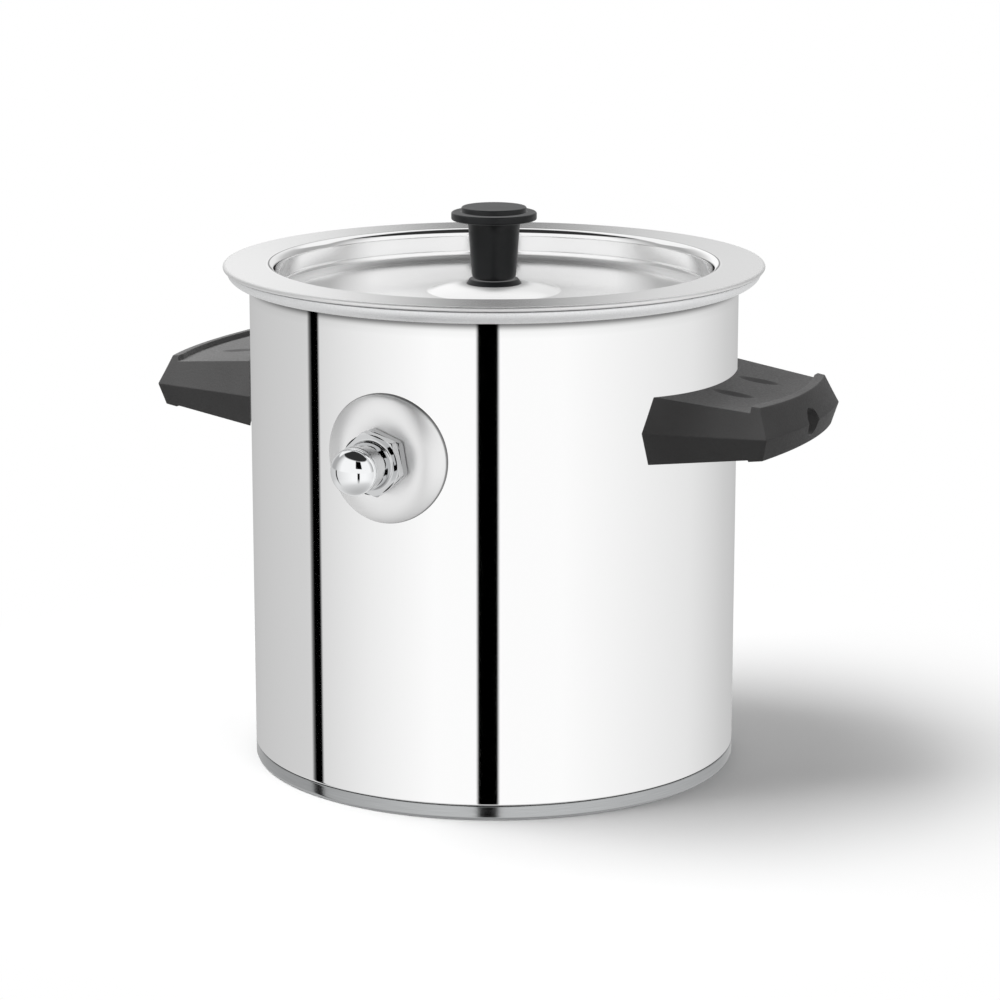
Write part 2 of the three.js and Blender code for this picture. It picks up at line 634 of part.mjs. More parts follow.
function lidGroup() {
  const group = new THREE.Group();
  const knobFoot = KNOB_SEAT + COLLAR_HEIGHT;
  const washerFoot = KNOB_SEAT - SHEET - WASHER_THICKNESS;
  const insert = tube(SCREW_BORE, INSERT_RADIUS, 0, INSERT_LENGTH);
  group.add(
    piece("lid_pan", lidPan(), STEEL),
    piece("knob_collar", knobCollar().translate(0, 0, KNOB_SEAT), KNOB_BLACK),
    piece("lid_knob", lidKnob().translate(0, 0, knobFoot), KNOB_BLACK),
    piece("knob_insert", insert.translate(0, 0, knobFoot + SEAT_GAP), BRASS),
    piece("knob_washer", washer().translate(0, 0, washerFoot), SATIN),
    piece("knob_screw", slottedScrew().rotateX(Math.PI).translate(0, 0, washerFoot), SATIN),
  );
  return group;
}

const milkBoiler = new THREE.Group();
milkBoiler.add(
  vesselGroup(),
  lidGroup(),
  portGroup(),
  handleGroup("right", 0),
  handleGroup("left", Math.PI),
);

export default milkBoiler;
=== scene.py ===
# %% [markdown]
# # A milk boiler in mirror steel
# The real object is a pot inside a pot. Water between the two steel walls heats the milk gently, and a
# whistle on the filling port calls when the water boils. The solids already have the right sizes and
# joints. This lesson gives each piece a fine surface and a finish, and lights it like a catalogue
# picture.

# %% Load the solids and keep their box
import json
import math

import bmesh
import bpy
import numpy as np
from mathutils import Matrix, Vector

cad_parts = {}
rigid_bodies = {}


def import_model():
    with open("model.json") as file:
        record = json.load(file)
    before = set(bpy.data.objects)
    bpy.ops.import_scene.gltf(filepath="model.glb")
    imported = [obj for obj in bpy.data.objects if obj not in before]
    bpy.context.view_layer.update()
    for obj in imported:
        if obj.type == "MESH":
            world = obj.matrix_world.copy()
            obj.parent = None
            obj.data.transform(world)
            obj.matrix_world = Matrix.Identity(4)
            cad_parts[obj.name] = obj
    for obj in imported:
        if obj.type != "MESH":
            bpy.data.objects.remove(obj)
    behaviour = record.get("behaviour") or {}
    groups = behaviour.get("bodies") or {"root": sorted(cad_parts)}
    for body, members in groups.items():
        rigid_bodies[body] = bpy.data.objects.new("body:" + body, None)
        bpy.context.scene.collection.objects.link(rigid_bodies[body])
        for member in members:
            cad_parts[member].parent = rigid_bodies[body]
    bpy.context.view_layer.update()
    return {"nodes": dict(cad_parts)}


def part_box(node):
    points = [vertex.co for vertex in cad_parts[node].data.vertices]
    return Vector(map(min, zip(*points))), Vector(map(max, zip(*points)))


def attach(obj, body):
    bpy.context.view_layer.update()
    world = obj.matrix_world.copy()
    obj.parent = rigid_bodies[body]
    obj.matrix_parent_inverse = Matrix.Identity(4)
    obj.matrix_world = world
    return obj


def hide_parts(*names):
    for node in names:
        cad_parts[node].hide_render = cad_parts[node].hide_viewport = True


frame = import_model()
MM = 0.001

# %% [markdown]
# ## The camera first
# The picture was taken a little from the right and from above with a long lens, so the pot's sides stay
# almost parallel. Its place comes from the ellipses of the lid and the foot, with the pot taken as 150 mm
# wide. The camera is made first so that every later step can be looked at from the same spot.

# %% Camera
CAMERA_AZIMUTH = math.radians(25.0)
CAMERA_REACH = 1.033
CAMERA_HEIGHT = 0.320
CAMERA_TILT = math.radians(13.09)
CAMERA_LENS = 122.5
CAMERA_SHIFT = 0.006

camera = bpy.data.objects.new("camera", bpy.data.cameras.new("camera"))
bpy.context.scene.collection.objects.link(camera)
bpy.context.scene.camera = camera
camera.data.lens = CAMERA_LENS
camera.data.shift_x = CAMERA_SHIFT
camera.location = (
    CAMERA_REACH * math.sin(CAMERA_AZIMUTH),
    -CAMERA_REACH * math.cos(CAMERA_AZIMUTH),
    CAMERA_HEIGHT,
)
camera.rotation_euler = (math.pi / 2 - CAMERA_TILT, 0, CAMERA_AZIMUTH)
print("camera at", [round(value, 3) for value in camera.location])

# %% [markdown]
# ## Profiles
# Pots, lids and knobs are spun or pressed, so each is a line of radius and height turned round an axis.
# Metal edges are never perfectly sharp: every corner of a line is swapped for a small arc, and the arc is
# what catches the light. A mirror shows every wobble of the surface normals, so a straight stretch gets
# two extra points close to its ends, which keep it dead straight.

# %% Profile helpers
STRAIGHT = 1e-4
HOLD = 0.25 * MM
LONG_STRETCH = 4 * HOLD


def rounded(corners, steps=6):
    """Line through (radius, height, rounding) corners. A rounding r swaps a corner for the arc that touches
    both sides: its centre lies on the bisector at r / sin(half angle)."""
    corners = np.asarray(corners, float)
    share = np.linspace(0, 1, steps + 1)[:, None]
    line = [corners[0, :2]]
    for before, corner, after in zip(corners[:-2], corners[1:-1], corners[2:]):
        place, rounding = corner[:2], corner[2]
        back = (before[:2] - place) / np.linalg.norm(before[:2] - place)
        ahead = (after[:2] - place) / np.linalg.norm(after[:2] - place)
        half = np.arccos(np.clip(back @ ahead, -1, 1)) / 2
        if rounding == 0 or np.pi / 2 - half < STRAIGHT:
            line.append(place)
            continue
        middle = place + (back + ahead) / np.linalg.norm(back + ahead) * rounding / np.sin(half)
        first = place + back * rounding / np.tan(half) - middle
        last = place + ahead * rounding / np.tan(half) - middle
        sweep = np.pi - 2 * half
        arc = (np.sin((1 - share) * sweep) * first + np.sin(share * sweep) * last) / np.sin(sweep)
        line.extend(middle + arc)
    line.append(corners[-1, :2])
    return np.array(line)


def held(line):
    """The same line with two extra points on each long stretch, HOLD away from the stretch's ends."""
    steps = np.diff(line, axis=0)
    lengths = np.linalg.norm(steps, axis=1)
    points = [line[:1]]
    for start, step, length in zip(line[:-1], steps, lengths):
        if length > LONG_STRETCH:
            points.append(start + step * np.array([[HOLD / length], [1 - HOLD / length]]))
        points.append((start + step)[None])
    return np.concatenate(points)


def ellipse(middle, radii, start, end, steps):
    """Points on an ellipse: middle + radii * (cos, sin) between two angles in degrees."""
    angle = np.radians(np.linspace(start, end, steps + 1))
    return np.array(middle) + np.array(radii) * np.stack([np.cos(angle), np.sin(angle)], 1)


def pressed(line, thickness):
    """Closed outline of a pressed sheet: a line, and the same line moved along its left normal."""
    heading = np.diff(line, axis=0)
    heading = heading / np.linalg.norm(heading, axis=1)[:, None]
    before = np.vstack([heading[:1], heading])
    after = np.vstack([heading, heading[-1:]])
    middle = before + after
    middle = middle / np.linalg.norm(middle, axis=1)[:, None]
    step = thickness / (middle * after).sum(1)
    back = line + np.stack([-middle[:, 1], middle[:, 0]], 1) * step[:, None]
    return np.vstack([line, back[::-1], line[:1]])


print("a rounded corner has", len(rounded([(0, 0, 0), (1, 0, 0.2), (1, 1, 0)])), "points")

# %% [markdown]
# ## From arrays to meshes
# A surface here is a whole grid of points, one numpy array with two running directions. One function
# turns such a grid into a mesh: it numbers the four corners of every cell, writes a UV map that runs with
# the grid, closes the seams and poles by merging doubles, and lets the faces point outwards.

# %% Grid to mesh
MERGE = 1e-7
SHARP = 35


def cells(rows, columns, around, closed):
    """Four corner numbers of every grid cell, with its row and column. A closed direction wraps round."""
    i, j = np.meshgrid(np.arange(rows - (not around)), np.arange(columns - (not closed)))
    i, j = i.ravel(), j.ravel()
    row, next_row = i * columns, (i + 1) % rows * columns
    next_column = (j + 1) % columns
    return np.stack([row + j, next_row + j, next_row + next_column, row + next_column], 1), i, j


def shade(piece, sharp):
    """Smooth shading, with edges above an angle in degrees kept crisp."""
    piece.data.shade_smooth()
    piece.data.set_sharp_from_angle(angle=math.radians(sharp))


def close(piece):
    """Merges doubles and turns the faces outwards."""
    work = bmesh.new()
    work.from_mesh(piece.data)
    bmesh.ops.remove_doubles(work, verts=work.verts, dist=MERGE)
    bmesh.ops.dissolve_degenerate(work, edges=work.edges, dist=MERGE)
    bmesh.ops.recalc_face_normals(work, faces=work.faces)
    work.to_mesh(piece.data)
    work.free()


def skin(name, grid, around=True, closed=False, caps=()):
    """Mesh object from a grid of points (rows, columns, 3), with UV running 0 to 1 along rows and in metres
    along columns. Caps are extra faces, given as lists of point numbers."""
    rows, columns = grid.shape[:2]
    faces, i, j = cells(rows, columns, around, closed)
    mesh = bpy.data.meshes.new(name)
    mesh.from_pydata(grid.reshape(-1, 3).tolist(), [], faces.tolist() + [list(cap) for cap in caps])
    step = np.linalg.norm(np.diff(grid[0], axis=0, append=grid[:1, 0]), axis=1)
    along = np.concatenate([[0], np.cumsum(step)])
    corners = np.stack([
        np.stack([i, i + 1, i + 1, i], 1) / rows,
        along[np.stack([j, j, j + 1, j + 1], 1)],
    ], 2).reshape(-1, 2)
    spare = len(mesh.loops) - len(corners)
    layer = mesh.uv_layers.new(name="grid")
    layer.data.foreach_set("uv", np.vstack([corners, np.zeros((spare, 2))]).astype(np.float32).ravel())
    piece = bpy.data.objects.new(name, mesh)
    bpy.context.scene.collection.objects.link(piece)
    close(piece)
    shade(piece, SHARP)
    return piece


print("a closed grid of 4 x 3 points has", len(cells(4, 3, True, True)[0]), "cells")

# %% [markdown]
# ## Turned pieces on their bodies
# Most pieces are turned: a profile runs once round an axis. The solids give the measures, read from their
# boxes, so a piece always fits the solid that it stands for. One function hands a finished piece over: it
# gets its finish, rides on the body that it moves with, and takes the place of its solid.

# %% Turning, measuring and placing


def turned(radius, height, sides):
    """Grid round Z: (radius cos a, radius sin a, height) at equal angles a. Radius and height are given per
    column, or per angle and column."""
    angle = np.linspace(0, 2 * np.pi, sides, endpoint=False)[:, None]
    return np.stack([radius * np.cos(angle), radius * np.sin(angle), height + 0 * angle], 2)


def spin(profile, sides):
    """Grid of a profile of radius and height, turned round Z."""
    return turned(profile[:, 0], profile[:, 1], sides)


def span(node):
    """Lowest and highest corner of a solid at rest, as arrays in metres."""
    low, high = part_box(node)
    return np.array(low), np.array(high)


def wear(piece, body, slot, finish, *nodes):
    """Gives a piece its finish, lets it ride on a body and stand for solids."""
    piece.data.materials.clear()
    piece.data.materials.append(finish)
    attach(piece, body)
    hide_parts(*nodes)
    print(piece.name, "has", len(piece.data.polygons), "faces and rides on", body)
    return piece


wall_radius, _, wall_top = span("outer_shell")[1]
port_height = np.mean([corner[2] for corner in span("inlet_nozzle")])
print("in mm, wall radius:", round(wall_radius / MM, 2), "wall top:", round(wall_top / MM, 2),
      "port height:", round(port_height / MM, 2))

# %% [markdown]
# ## Finishes
# A finish is a small node tree. The helpers below make nodes and wire them, so each finish reads as a
# short recipe. Grain and brush lines are procedural noise, at the size that they have on the real thing:
# polishing lines are hairlines that run round the pot, and moulded plastic has an even sand-blasted
# grain.

# %% Node helpers
SHADER = "Principled BSDF"
NOISE_LOW, NOISE_HIGH = 0.3, 0.7


def add(tree, kind, sockets=(), **settings):
    """A new node with its settings. An input takes a value, or a link from another node's output."""
    made = tree.nodes.new(kind)
    for key, value in settings.items():
        setattr(made, key, value)
    for key, value in dict(sockets).items():
        if isinstance(value, bpy.types.NodeSocket):
            tree.links.new(value, made.inputs[key])
        else:
            made.inputs[key].default_value = value
    return made


def finish_tree(name, color, metallic, roughness, **sockets):
    """A new material with one shader, returned with its tree."""
    made = bpy.data.materials.new(name)
    made.use_nodes = True
    inputs = made.node_tree.nodes[SHADER].inputs
    inputs["Base Color"].default_value = (*color, 1)
    inputs["Metallic"].default_value = metallic
    inputs["Roughness"].default_value = roughness
    for key, value in sockets.items():
        inputs[key.replace("_", " ")].default_value = value
    return made, made.node_tree


def feed(tree, socket, value):
    """Links a value to an input of a finish's shader."""
    tree.links.new(value, tree.nodes[SHADER].inputs[socket])


def noise(tree, output, scale, detail):
    """Noise on Object or UV coordinates, stretched by three scales."""
    place = add(tree, "ShaderNodeTexCoord").outputs[output]
    wide = add(tree, "ShaderNodeMapping", {"Vector": place, "Scale": scale}).outputs["Vector"]
    return add(tree, "ShaderNodeTexNoise", {"Vector": wide, "Scale": 1.0, "Detail": detail}).outputs["Fac"]


def even_grain(tree, count, detail=3.0):
    """Noise that is the same in all directions, with a count per metre."""
    return noise(tree, "Object", (count, count, count), detail)


def round_lines(tree, around, across, detail=3.0):
    """Noise drawn out into lines round a turned piece, with counts per turn and per metre across."""
    return noise(tree, "UV", (around, across, 1.0), detail)


def mapped(tree, value, start, end, low=0.0, high=1.0, **settings):
    """Maps a value between start and end onto low to high, and holds it past both ends."""
    ends = {"Value": value, "From Min": start, "From Max": end, "To Min": low, "To Max": high}
    return add(tree, "ShaderNodeMapRange", ends, **settings).outputs["Result"]


def roughen(tree, value, low, high):
    """Lets the roughness vary between two values with a noise."""
    feed(tree, "Roughness", mapped(tree, value, NOISE_LOW, NOISE_HIGH, low, high))


def ramp_of(tree, value, stops):
    """Colour ramp through (position, tone) stops from 0 to 1. A tone is a grey or three channels."""
    made = add(tree, "ShaderNodeValToRGB", {"Fac": value})
    elements = made.color_ramp.elements
    elements[0].position, elements[1].position = stops[0][0], stops[-1][0]
    for position, _ in stops[1:-1]:
        elements.new(position)
    for element, (_, tone) in zip(elements, stops):
        element.color = (*np.broadcast_to(tone, 3), 1)
    return made.outputs["Color"]


def tint(tree, value, dark, light):
    """Lets the colour vary between two colours with a noise."""
    feed(tree, "Base Color", ramp_of(tree, value, ((NOISE_LOW, dark), (NOISE_HIGH, light))))


def emboss(tree, value, depth, strength):
    """Bump of a depth in metres from a noise."""
    bump = add(tree, "ShaderNodeBump", {"Strength": strength, "Distance": depth, "Height": value})
    feed(tree, "Normal", bump.outputs["Normal"])


print("noise runs from", NOISE_LOW, "to", NOISE_HIGH, "for the most part")

# %% [markdown]
# ## Polished steel that changes with the place
# All the sheet is stainless steel, but each piece leaves the workshop in its own finish. The wall is
# buffed to a mirror, with a very fine haze of buffing lines round the pot. Its last millimetres under the
# rim's bead get a painted shade, darker towards the top. The cover plate is polished by a soft wheel, so
# reflections melt on it, and its rim gets a painted shade where it meets the wall. The lid is turned, which
# draws highlights out along the radius. Its flange is greyer, its hem matt and its dish wall a mirror. So
# these finishes are functions of a distance: from the wall's top, from the port's axis and from the pot's
# axis.

# %% Wall, cover plate and lid
# Painted shade under the rim's bead: tones by distance below the wall's top, over a span.
PAINTED_BEAD_SHADE = ((0, 0.18), (0.45, 0.18), (0.53, 0.32), (0.6, 0.56), (0.67, 0.79), (0.75, 0.91), (1, 0.97))
PAINTED_BEAD_SHADE_SPAN = 8 * MM
# Painted shade at the cover plate's rim, where it meets the wall: tones by distance from the port's axis.
PLATE_RIM_PAINTED_SHADE = ((0, 0.945), (0.946, 0.945), (0.956, 0.28), (1, 0.28))
PLATE_SPAN = 20 * MM
LID_ROUGHNESS = ((0, 0.2), (0.632, 0.2), (0.644, 0.52), (0.664, 0.52), (0.670, 0.05), (0.692, 0.05),
                 (0.698, 0.2), (0.821, 0.2), (0.824, 0.5), (1, 0.5))
LID_TONE = ((0, 0.96), (0.692, 0.96), (0.698, 0.78), (0.821, 0.78), (0.824, 0.95), (1, 0.95))
LID_SPAN = 100 * MM


def far_share(tree, middle, across, length):
    """Distance from a place, as a share of a length. Across is 1 for each of the three axes that counts."""
    place = add(tree, "ShaderNodeTexCoord").outputs["Object"]
    shift = add(tree, "ShaderNodeVectorMath", {0: place, 1: middle}, operation="SUBTRACT").outputs["Vector"]
    flat = add(tree, "ShaderNodeVectorMath", {0: shift, 1: across}, operation="MULTIPLY").outputs["Vector"]
    distance = add(tree, "ShaderNodeVectorMath", {0: flat}, operation="LENGTH").outputs["Value"]
    return mapped(tree, distance, 0, length)


def mirror_steel():
    """A mirror with fine lines round the pot, and a painted shade over the last millimetres at the top."""
    finish, tree = finish_tree("mirror steel", (0.965, 0.97, 0.975), 1.0, 0.03)
    # Painted shade under the bead: the wall's tone darkens towards its top.
    below = far_share(tree, (0, 0, wall_top), (0, 0, 1), PAINTED_BEAD_SHADE_SPAN)
    feed(tree, "Base Color", ramp_of(tree, below, PAINTED_BEAD_SHADE))
    lines = round_lines(tree, around=6.0, across=9000.0)
    roughen(tree, lines, 0.015, 0.05)
    emboss(tree, lines, 0.001 * MM, 0.2)
    return finish


def soft_polish():
    """Soft-wheel polish only: reflections stay, edges melted. Painted shade darkens the rim at the wall."""
    finish, tree = finish_tree("soft steel", (0.94, 0.945, 0.95), 1.0, 0.2)
    lines = round_lines(tree, around=6.0, across=7000.0)
    roughen(tree, lines, 0.40, 0.46)
    # Painted shade: a dark line on the plate's rim, where it meets the wall.
    share = far_share(tree, (0, 0, port_height), (1, 0, 1), PLATE_SPAN)
    feed(tree, "Base Color", ramp_of(tree, share, PLATE_RIM_PAINTED_SHADE))
    return finish


def spun_steel():
    """Finely turned, so highlights are drawn out along the radius. Roughness and tone of floor, dish wall,
    flange and hem are functions of the distance from the axis."""
    finish, tree = finish_tree("spun steel", (0.955, 0.96, 0.965), 1.0, 0.2, Anisotropic=0.5,
                               Anisotropic_Rotation=0.25)
    tangent = add(tree, "ShaderNodeTangent", direction_type="UV_MAP", uv_map="grid")
    share = far_share(tree, (0, 0, 0), (1, 1, 0), LID_SPAN)
    feed(tree, "Roughness", ramp_of(tree, share, LID_ROUGHNESS))
    feed(tree, "Base Color", ramp_of(tree, share, LID_TONE))
    feed(tree, "Tangent", tangent.outputs["Tangent"])
    return finish


polished = mirror_steel()
soft_steel = soft_polish()
spun = spun_steel()
print("finishes by distance:", [made.name for made in (polished, soft_steel, spun)])

# %% [markdown]
# ## Matt, brushed and plated metal
# The milk pot is blasted to an even matt grain. The band at the foot and the screws are brushed, with
# streaks in colour, roughness and relief. Nut and whistle are plated brass, with nut and barrel greyer
# than the polished dome. The nozzle and the whistle's discs are turned brass, and the disc in the base is
# aluminium.

# %% Blasted, brushed, plated and turned
STREAK_DARK = 0.86
TURNED_HAZE = 0.06


def blasted_steel():
    """Matt steel with an even fine grain, as blasting with sand leaves it."""
    finish, tree = finish_tree("satin steel", (0.95, 0.955, 0.96), 1.0, 0.55)
    grain = even_grain(tree, count=1900.0, detail=2.0)
    tint(tree, grain, (0.92, 0.925, 0.93), (0.99, 0.995, 1.0))
    emboss(tree, grain, 0.03 * MM, 0.5)
    return finish


def satin_steel(name, color, roughness):
    """Steel brushed round its axis: long thin streaks in colour, roughness and relief."""
    dark = tuple(STREAK_DARK * channel for channel in color)
    finish, tree = finish_tree(name, color, 1.0, roughness)
    streaks = round_lines(tree, around=40.0, across=6000.0, detail=4.0)
    tint(tree, streaks, dark, color)
    roughen(tree, streaks, 1.2 * roughness, 0.8 * roughness)
    emboss(tree, streaks, 0.01 * MM, 0.5)
    return finish


def chrome_plate(name, tone):
    """Plated brass: a mirror with a faint uneven haze, its white set by the tone."""
    finish, tree = finish_tree(name, (tone, 1.01 * tone, 1.02 * tone), 1.0, 0.03)
    roughen(tree, even_grain(tree, count=260.0), 0.015, 0.045)
    return finish


def turned_metal(name, color, roughness):
    """Turned on a lathe: a plain metal with an uneven haze."""
    finish, tree = finish_tree(name, color, 1.0, roughness)
    haze = even_grain(tree, count=900.0)
    roughen(tree, haze, roughness - TURNED_HAZE, roughness + TURNED_HAZE)
    return finish


satin = blasted_steel()
band_steel = satin_steel("base steel", (0.50, 0.51, 0.515), 0.10)
screw_steel = satin_steel("screw steel", (0.60, 0.60, 0.60), 0.32)
chrome = chrome_plate("chrome plate", 0.93)
barrel_chrome = chrome_plate("barrel chrome", 0.66)
nut_nickel = chrome_plate("nut nickel", 0.46)
brass = turned_metal("brass", (0.72, 0.55, 0.27), 0.24)
aluminium = turned_metal("aluminium", (0.78, 0.79, 0.80), 0.42)
print("even finishes:", [made.name for made in (satin, band_steel, screw_steel, brass, aluminium)])
print("plated finishes:", [made.name for made in (chrome, barrel_chrome, nut_nickel)])

# %% [markdown]
# ## Black mouldings and rubber
# The handles are pressed from a heat-proof resin that keeps cool. It leaves the mould with an even fine
# grain, a soft sheen and a dark grey, not a pure black. The knob is the same family of plastic from a
# smoother mould, so it is blacker and shinier. Seals are matt rubber.

# %% Bakelite, knob plastic and rubber


def bakelite():
    """Dark grey with soft clouds, a fine grain in relief and a weak sheen."""
    finish, tree = finish_tree("bakelite", (0.105, 0.105, 0.105), 0.0, 0.5, Specular_IOR_Level=0.2)
    grain = even_grain(tree, count=1500.0, detail=2.0)
    clouds = even_grain(tree, count=60.0)
    tint(tree, clouds, (0.098, 0.097, 0.097), (0.113, 0.112, 0.112))
    roughen(tree, grain, 0.44, 0.6)
    emboss(tree, grain, 0.08 * MM, 0.7)
    return finish


def knob_plastic():
    """Black with a faint cloudiness and a smoother skin."""
    color = (0.010, 0.011, 0.012)
    finish, tree = finish_tree("knob black", color, 0.0, 0.25, Specular_IOR_Level=0.35)
    clouds = even_grain(tree, count=140.0)
    roughen(tree, clouds, 0.34, 0.40)
    tint(tree, clouds, (0.009, 0.010, 0.011), (0.012, 0.013, 0.014))
    return finish


def rubber():
    """Matt black with a fine grain."""
    finish, tree = finish_tree("seal rubber", (0.018, 0.017, 0.016), 0.0, 0.8)
    emboss(tree, even_grain(tree, count=1500.0, detail=2.0), 0.04 * MM, 0.5)
    return finish


resin = bakelite()
knob_black = knob_plastic()
seal_rubber = rubber()
print("dark finishes:", [made.name for made in (resin, knob_black, seal_rubber)])

# %% [markdown]
# ## Shell and base
# The outer wall is a drawn steel cup, straight as a tin. Under it sits a capsule, a shallow satin cup
# that holds an aluminium disc to spread the heat. Its edge is the low grey band at the foot, drawn up to
# the shell so that the seam stays a fine line. Both are one profile each, turned round the pot's axis.
# The port hole is then cut through the wall, as a punch does it.

# %% Tools that cut


def bake(piece):
    """Swaps the mesh for what its modifiers make of it, and removes them."""
    graph = bpy.context.evaluated_depsgraph_get()
    made = bpy.data.meshes.new_from_object(piece.evaluated_get(graph))
    piece.modifiers.clear()
    piece.data = made


def cut(piece, tool, sharp=SHARP):
    """Takes the tool's space out of a piece and deletes the tool."""
    knife = piece.modifiers.new("cut", "BOOLEAN")
    knife.object = tool
    knife.solver = "EXACT"
    bake(piece)
    bpy.data.objects.remove(tool)
    shade(piece, sharp)


def rod(radius, foot, top, sides):
    """Grid of a plain round rod on the axis, flat at both ends."""
    return spin(np.array([(0, foot), (radius, foot), (radius, top), (0, top)]), sides)


def out_of_port(grid):
    """Turns a grid about Z so that its axis points out of the port, towards -Y at the port's height."""
    return np.stack([grid[..., 0], -grid[..., 2], grid[..., 1] + port_height], -1)


# %% Shell and base capsule
SHEET = 0.6 * MM
BASE_EDGE = 1.0 * MM
SHELL_EDGE = 0.65 * MM
CUT_EDGE = 0.2 * MM
SEAM = 0.05 * MM
PORT_PASS = 5.4 * MM
WALL_SIDES = 256
PUNCH_SIDES = 64


def cup(foot, top, edge):
    """Outline of a steel cup: floor, rounded corner, wall, cut edge, and the same way back inside."""
    inside = wall_radius - SHEET
    return held(rounded([
        (0, foot, 0),
        (wall_radius, foot, edge),
        (wall_radius, top, CUT_EDGE),
        (inside, top, CUT_EDGE),
        (inside, foot + SHEET, edge - SHEET),
        (0, foot + SHEET, 0),
    ]))


shell_foot = span("outer_shell")[0][2]
base_foot = span("base_cap")[0][2]
shell = skin("outer_shell_wall", spin(cup(shell_foot, wall_top, SHELL_EDGE), WALL_SIDES))
punch = rod(PORT_PASS, wall_radius / 2, wall_radius + SHEET, PUNCH_SIDES)
cut(shell, skin("punch", out_of_port(punch)))
wear(shell, "vessel", "mirror_steel", polished, "outer_shell")
base = skin("base_capsule", spin(cup(base_foot, shell_foot - SEAM, BASE_EDGE), WALL_SIDES))
wear(base, "vessel", "base_steel", band_steel, "base_cap")

# %% [markdown]
# ## Milk pot
# The inner pot hangs from its rim. One sheet runs from the middle of the floor, up the wall, over a flat
# flange and round a quarter bead that closes the water jacket against the shell. The bead shows under the
# lid as a matt, finely grained ring. One line, thickened like the sheet, makes it all.

# %% Milk pot with its rolled rim
POT_RADIUS = 68.2 * MM
POT_CORNER = 8 * MM
POT_LIP = 1.5 * MM
POT_STEPS = 8
RIM_REACH, RIM_DEPTH = 6.8 * MM, 3.95 * MM
RIM_EDGE = 0.35 * MM
RIM_GAP = 0.4 * MM
BEAD_STEPS = 16

pot_low, pot_high = span("inner_pot")
pot_floor = pot_low[2] + SHEET
rim_top, rim_radius = pot_high[2], pot_high[0]
bead_end = -math.degrees(math.acos(RIM_GAP / RIM_REACH))
flange = rounded([
    (0, pot_floor, 0),
    (POT_RADIUS, pot_floor, POT_CORNER),
    (POT_RADIUS, rim_top, POT_LIP),
    (rim_radius, rim_top, RIM_EDGE),
    (rim_radius, rim_top - RIM_EDGE, 0),
], POT_STEPS)
bead = ellipse((wall_radius, rim_top - RIM_EDGE), (RIM_REACH, RIM_DEPTH), 0, bead_end, BEAD_STEPS)
pot_line = held(np.vstack([flange, bead[1:]]))
pot = skin("milk_pot", spin(pressed(pot_line[::-1], SHEET), WALL_SIDES))
wear(pot, "vessel", "satin_steel", satin, "inner_pot")

# %% [markdown]
# ## Lid
# The lid is a pressed dish with a wide flat flange, folded under at its edge so that nobody gets cut. The
# dish's inner edge has a wide rounding, which mirrors a dark part of the tent as one black arc on the far
# side. The floor rises to a low dome, a half cosine wave of the radius that meets the flat part without a
# kink, so the reflections flow. The boss for the knob is a small cap on it, with a clear line round its
# foot.

# %% Lid pan
DISH_RADIUS = 67.1 * MM
DISH_DEPTH = 10 * MM
DISH_FILLET = 3 * MM
DISH_LIP = 2.4 * MM
DISH_STEPS = 10
CROWN_RADIUS, CROWN_HEIGHT, CROWN_POINTS = 50 * MM, 1.2 * MM, 40
BOSS_RADIUS, BOSS_HEIGHT, BOSS_POINTS = 20 * MM, 2 * MM, 24
KNOB_SEAT_RADIUS = 9 * MM
SCREW_PASS = 2.4 * MM
HEM_ROUND, HEM_STEPS = 0.7 * MM, 12
HEM_WIDTH = 2.6 * MM

lid_radius, _, lid_top = span("lid_pan")[1]
dish_floor = lid_top - DISH_DEPTH


def way_out(radius, reach):
    """0 inside the knob's seat, 1 past the reach, and growing evenly between them."""
    return np.clip((radius - KNOB_SEAT_RADIUS) / (reach - KNOB_SEAT_RADIUS), 0, 1)


def lid_line():
    """From the knob's hole over the boss, 1 - s^2, and the crown, (1 + cos pi s) / 2, with s the way out,
    down to the floor, up the dish wall, out and round the hem."""
    boss = np.linspace(KNOB_SEAT_RADIUS, BOSS_RADIUS, BOSS_POINTS)
    radius = np.concatenate([[SCREW_PASS], boss, np.linspace(BOSS_RADIUS, CROWN_RADIUS, CROWN_POINTS)[1:]])
    crown = (1 + np.cos(np.pi * way_out(radius, CROWN_RADIUS))) / 2
    height = CROWN_HEIGHT * crown + BOSS_HEIGHT * (1 - way_out(radius, BOSS_RADIUS) ** 2)
    dome = np.stack([radius, dish_floor + height], 1)
    wall = rounded([
        (CROWN_RADIUS, dish_floor, 0),
        (DISH_RADIUS, dish_floor, DISH_FILLET),
        (DISH_RADIUS, lid_top, DISH_LIP),
        (lid_radius - HEM_ROUND, lid_top, 0),
    ], DISH_STEPS)
    hem = ellipse((lid_radius - HEM_ROUND, lid_top - HEM_ROUND), (HEM_ROUND, HEM_ROUND), 90, -90, HEM_STEPS)
    tail = [[lid_radius - HEM_WIDTH, lid_top - 2 * HEM_ROUND]]
    return held(np.vstack([dome, wall[1:], hem[1:], tail]))


lid = skin("lid_dish", spin(pressed(lid_line()[::-1], SHEET), WALL_SIDES))
wear(lid, "lid", "mirror_steel", spun, "lid_pan")

# %% [markdown]
# ## Knob
# The knob is a black moulding like a chess pawn: a stem with a slight belly, a flare, a flat flange for
# the fingers and a smaller disc on top. A flared ring under it spreads its load on the lid. Brass insert,
# screw and washer hold it from below. Small roundings on the flange give the grey highlights that draw
# its edges.

